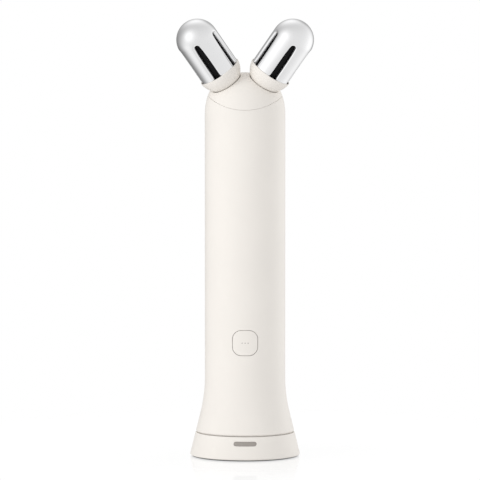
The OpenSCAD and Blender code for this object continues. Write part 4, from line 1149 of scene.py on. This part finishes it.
FINISHES = {f.__name__: f for f in (
    cream_plastic, grey_plastic, black_plastic, light_diffuser, rubber, chrome, steel, gold,
    bronze, circuit_board, film, battery_sleeve, wire)}


def finish(slot):
    """The material of a slot, made the first time it is asked for."""
    made = bpy.data.materials.get(f"toning_{slot}")
    if made:
        return made
    made = bpy.data.materials.new(f"toning_{slot}")
    made.use_nodes = True
    n = Nodes(made.node_tree)
    n.output(FINISHES[slot](n, n.place(), bpy.context.scene.toning_device.finish))
    return made


def finish_nodes():
    """Gives each CAD node the finish that the record names for it."""
    for part in frame["record"]["subparts"]:
        mesh = frame["nodes"][part["node"]].data
        mesh.materials.clear()
        mesh.materials.append(finish(part["material_slot"]))


# ------------------------------------------------------------------ the studio


def build_floor():
    """A white floor that keeps the shadow and a faint mirror image near the object.

    The camera and mirrors see it as mostly white, with a painted shadow under the dock,
    where its glow is dark, and with a small share of lit surface for the real shadow. The
    mirror image follows Fresnel and fades with the distance from the object. Further out
    the floor itself fades into the studio, and it is clear from below.
    """
    half_width, painted_shadow_radii = 0.22, (0.024, 0.0258)
    mirror_fade, floor_fade = (0.02, 0.15), (0.08, 0.2)
    # The dark grey is the painted shadow under the dock, and the light grey is the plain
    # floor.
    painted_shadow, light = (0.12, 0.12, 0.12, 1), (0.93, 0.93, 0.93, 1)
    mesh = bpy.data.meshes.new("floor")
    corners = np.array([[-1, -1, 0], [1, -1, 0], [1, 1, 0], [-1, 1, 0]]) * half_width
    mesh.from_pydata(corners, [], [(0, 1, 2, 3)])
    in_scene("floor", mesh)
    made = bpy.data.materials.new("studio_floor")
    made.use_nodes = True
    n = Nodes(made.node_tree)
    sight = n.add("ShaderNodeLightPath")
    away = n.add("ShaderNodeVectorMath", {"operation": "LENGTH"}, {0: n.place()})[1]
    # The floor's glow is painted dark under the dock: a painted shadow where the dock hides
    # the floor.
    glow_with_painted_shadow = n.mix(away.step(*painted_shadow_radii), painted_shadow, light)
    white = n.add("ShaderNodeEmission", None, {"Color": glow_with_painted_shadow})[0]
    lit = n.add("ShaderNodeBsdfDiffuse", None, {"Color": (0.1, 0.1, 0.1, 1)})[0]
    shown = n.add("ShaderNodeAddShader", None, {0: white, 1: lit})[0]
    mirror = n.add("ShaderNodeBsdfAnisotropic", None, {
        "Color": (1, 1, 1, 1), "Roughness": 0.02})[0]
    fresnel = n.add("ShaderNodeFresnel", None, {"IOR": 1.15})[0]
    near = 1.0 - away.step(*mirror_fade)
    seen = n.add("ShaderNodeMixShader", None, {
        0: fresnel * near * 0.8, 1: shown, 2: mirror})[0]
    plain = n.add("ShaderNodeBsdfDiffuse", None, {"Color": (0.9, 0.9, 0.9, 1)})[0]
    bright = sight[0].math("MAXIMUM", sight[3])
    surface = n.add("ShaderNodeMixShader", None, {0: bright, 1: plain, 2: seen})[0]
    clear = n.add("ShaderNodeBsdfTransparent")[0]
    below = n.add("ShaderNodeNewGeometry")[6]
    n.output(n.add("ShaderNodeMixShader", None, {
        0: away.step(*floor_fade).math("MAXIMUM", below), 1: surface, 2: clear})[0])
    mesh.materials.append(made)


def build_world(studio):
    """White behind the object. Elsewhere the studio is an even light with soft lobes.

    A lobe is exp(k (cos - 1)), where cos is that of the angle between the direction and
    the lobe's middle, so a larger k makes it narrower. Each is given by its azimuth,
    elevation, k and strength, and a strength below zero takes light away. The sum is kept
    from falling below the darkest level before the glow behind the object is added.
    """
    lobes = ((52.3, 18.4, 7.54, 0.53), (179.6, -55.4, 3.07, -0.976),
             (-143.4, -23.5, 2.79, 1.0), (161.8, 30.0, 1.74, -0.789),
             (-157.6, 30.1, 28.45, -0.299), (167.8, 47.8, 5.88, 0.9),
             (76.3, -45.2, 9.08, 0.357), (-159.7, -10.9, 7.02, -0.672))
    glow, darkest = (180, 5, 110.0, 0.6), 0.03
    world = bpy.data.worlds.new("studio")
    bpy.context.scene.world = world
    world.use_nodes = True
    n = Nodes(world.node_tree)
    sight = n.add("ShaderNodeLightPath")
    look = n.add("ShaderNodeTexCoord")[0]

    def lobe(azimuth, elevation, k, strength):
        a, e = np.radians(azimuth), np.radians(elevation)
        middle = (-np.sin(a) * np.cos(e), -np.cos(a) * np.cos(e), np.sin(e))
        cos = n.add("ShaderNodeVectorMath", {"operation": "DOT_PRODUCT"},
                    {0: look, 1: middle})[1]
        return ((cos - 1.0) * k).math("EXPONENT") * strength

    level = sum((lobe(*each) for each in lobes), studio.ambient)
    level = level.math("MAXIMUM", darkest) + lobe(*glow)
    grey = n.add("ShaderNodeCombineColor", None, {0: level, 1: level, 2: level})[0]
    studio_light = n.add("ShaderNodeBackground", None, {"Color": grey, "Strength": 1.0})[0]
    white = n.add("ShaderNodeBackground", None, {"Color": (1, 1, 1, 1), "Strength": 1.0})[0]
    n.output(n.add("ShaderNodeMixShader", None, {0: sight[0], 1: studio_light, 2: white})[0],
             "ShaderNodeOutputWorld")


def build_lamp(name, power, size, place, aim):
    """A square soft lamp that points at a place."""
    data = bpy.data.lights.new(name, "AREA")
    data.energy, data.size = power, size
    lamp = in_scene(name, data)
    place, aim = np.array(place), np.array(aim)
    turned = Vector(aim - place).to_track_quat("-Z", "Y")
    lamp.location, lamp.rotation_euler = place, turned.to_euler()
    lamp.visible_glossy = False


def build_camera(studio):
    """A long lens at the viewing angle: lens = sensor / 2 * distance / half frame."""
    data = bpy.data.cameras.new("camera")
    data.sensor_width = 36.0
    data.lens = data.sensor_width / 2 * studio.distance / studio.half_frame
    data.clip_end = 20.0  # Metres, well past the object
    camera = in_scene("camera", data)
    e = studio.elevation
    target = np.array([studio.aside, 0, studio.target])
    camera.location = target + studio.distance * np.array([0, -np.cos(e), np.sin(e)])
    camera.rotation_euler = (np.pi / 2 - e, 0, 0)
    bpy.context.scene.camera = camera


# ------------------------------------------------------------------ operators


class TONING_OT_handle(bpy.types.Operator):
    """Build the handle's shell and the cap on its head"""

    bl_idname = "toning.handle"
    bl_label = "Handle and Cap"

    def execute(self, context):
        build_handle(context.scene.toning_device)
        build_cap(context.scene.toning_device)
        return {"FINISHED"}


class TONING_OT_rollers(bpy.types.Operator):
    """Build both rollers with their chrome electrodes and cups"""

    bl_idname = "toning.rollers"
    bl_label = "Rollers"

    def execute(self, context):
        build_rollers(context.scene.toning_device)
        return {"FINISHED"}


class TONING_OT_button(bpy.types.Operator):
    """Build the power button and its indicator dots"""

    bl_idname = "toning.button"
    bl_label = "Power Button"

    def execute(self, context):
        build_button(context.scene.toning_device)
        return {"FINISHED"}


class TONING_OT_dock(bpy.types.Operator):
    """Build the dock's shell and its light bar"""

    bl_idname = "toning.dock"
    bl_label = "Dock"

    def execute(self, context):
        device = context.scene.toning_device
        build_dock(device).make("dock_skin", "cream_plastic", "dock", ["dock_shell"])
        build_light_bar(device).make("light_lens", "light_diffuser", "dock", ["light_bar"])
        return {"FINISHED"}


class TONING_OT_inner(bpy.types.Operator):
    """Give the inner pieces their finishes"""

    bl_idname = "toning.inner"
    bl_label = "Inner Pieces"

    def execute(self, context):
        finish_nodes()
        return {"FINISHED"}


class TONING_OT_studio(bpy.types.Operator):
    """Set up the floor, the lights and the camera"""

    bl_idname = "toning.studio"
    bl_label = "Studio"

    def execute(self, context):
        studio = context.scene.toning_device.studio
        context.scene.view_settings.view_transform = "Standard"
        build_floor()
        build_world(studio)
        aim, left_front, right_back = (0, 0, 0.11), (-1.05, -0.58, 0.45), (0.75, 0.75, 0.3)
        build_lamp("key_lamp", studio.key, 0.55, left_front, aim)
        build_lamp("fill_lamp", studio.fill, 0.4, right_back, aim)
        build_camera(studio)
        return {"FINISHED"}


class TONING_PT_panel(bpy.types.Panel):
    """Lists the pieces and their sizes in the sidebar."""

    bl_idname = "TONING_PT_panel"
    bl_label = "Toning Device"
    bl_space_type = "VIEW_3D"
    bl_region_type = "UI"
    bl_category = "Toning Device"

    def draw(self, context):
        for operator in OPERATORS:
            self.layout.operator(operator.bl_idname)
        device = context.scene.toning_device
        for group in ("handle", "rollers", "button", "dock", "finish", "studio"):
            box = self.layout.box()
            box.label(text=group.title())
            settings = getattr(device, group)
            for name in settings.__annotations__:
                box.prop(settings, name)


OPERATORS = (TONING_OT_handle, TONING_OT_rollers, TONING_OT_button, TONING_OT_dock,
             TONING_OT_inner, TONING_OT_studio)
CLASSES = (TONING_PG_handle, TONING_PG_rollers, TONING_PG_button, TONING_PG_dock,
           TONING_PG_finish, TONING_PG_studio, TONING_PG_device) + OPERATORS + (
           TONING_PT_panel,)


def register():
    for cls in CLASSES:
        bpy.utils.register_class(cls)
    bpy.types.Scene.toning_device = bpy.props.PointerProperty(type=TONING_PG_device)


def unregister():
    del bpy.types.Scene.toning_device
    for cls in reversed(CLASSES):
        bpy.utils.unregister_class(cls)


def main():
    """Builds everything in order."""
    register()
    bpy.ops.toning.handle()
    bpy.ops.toning.rollers()
    bpy.ops.toning.button()
    bpy.ops.toning.dock()
    bpy.ops.toning.inner()
    bpy.ops.toning.studio()


if __name__ == "__main__":
    main()
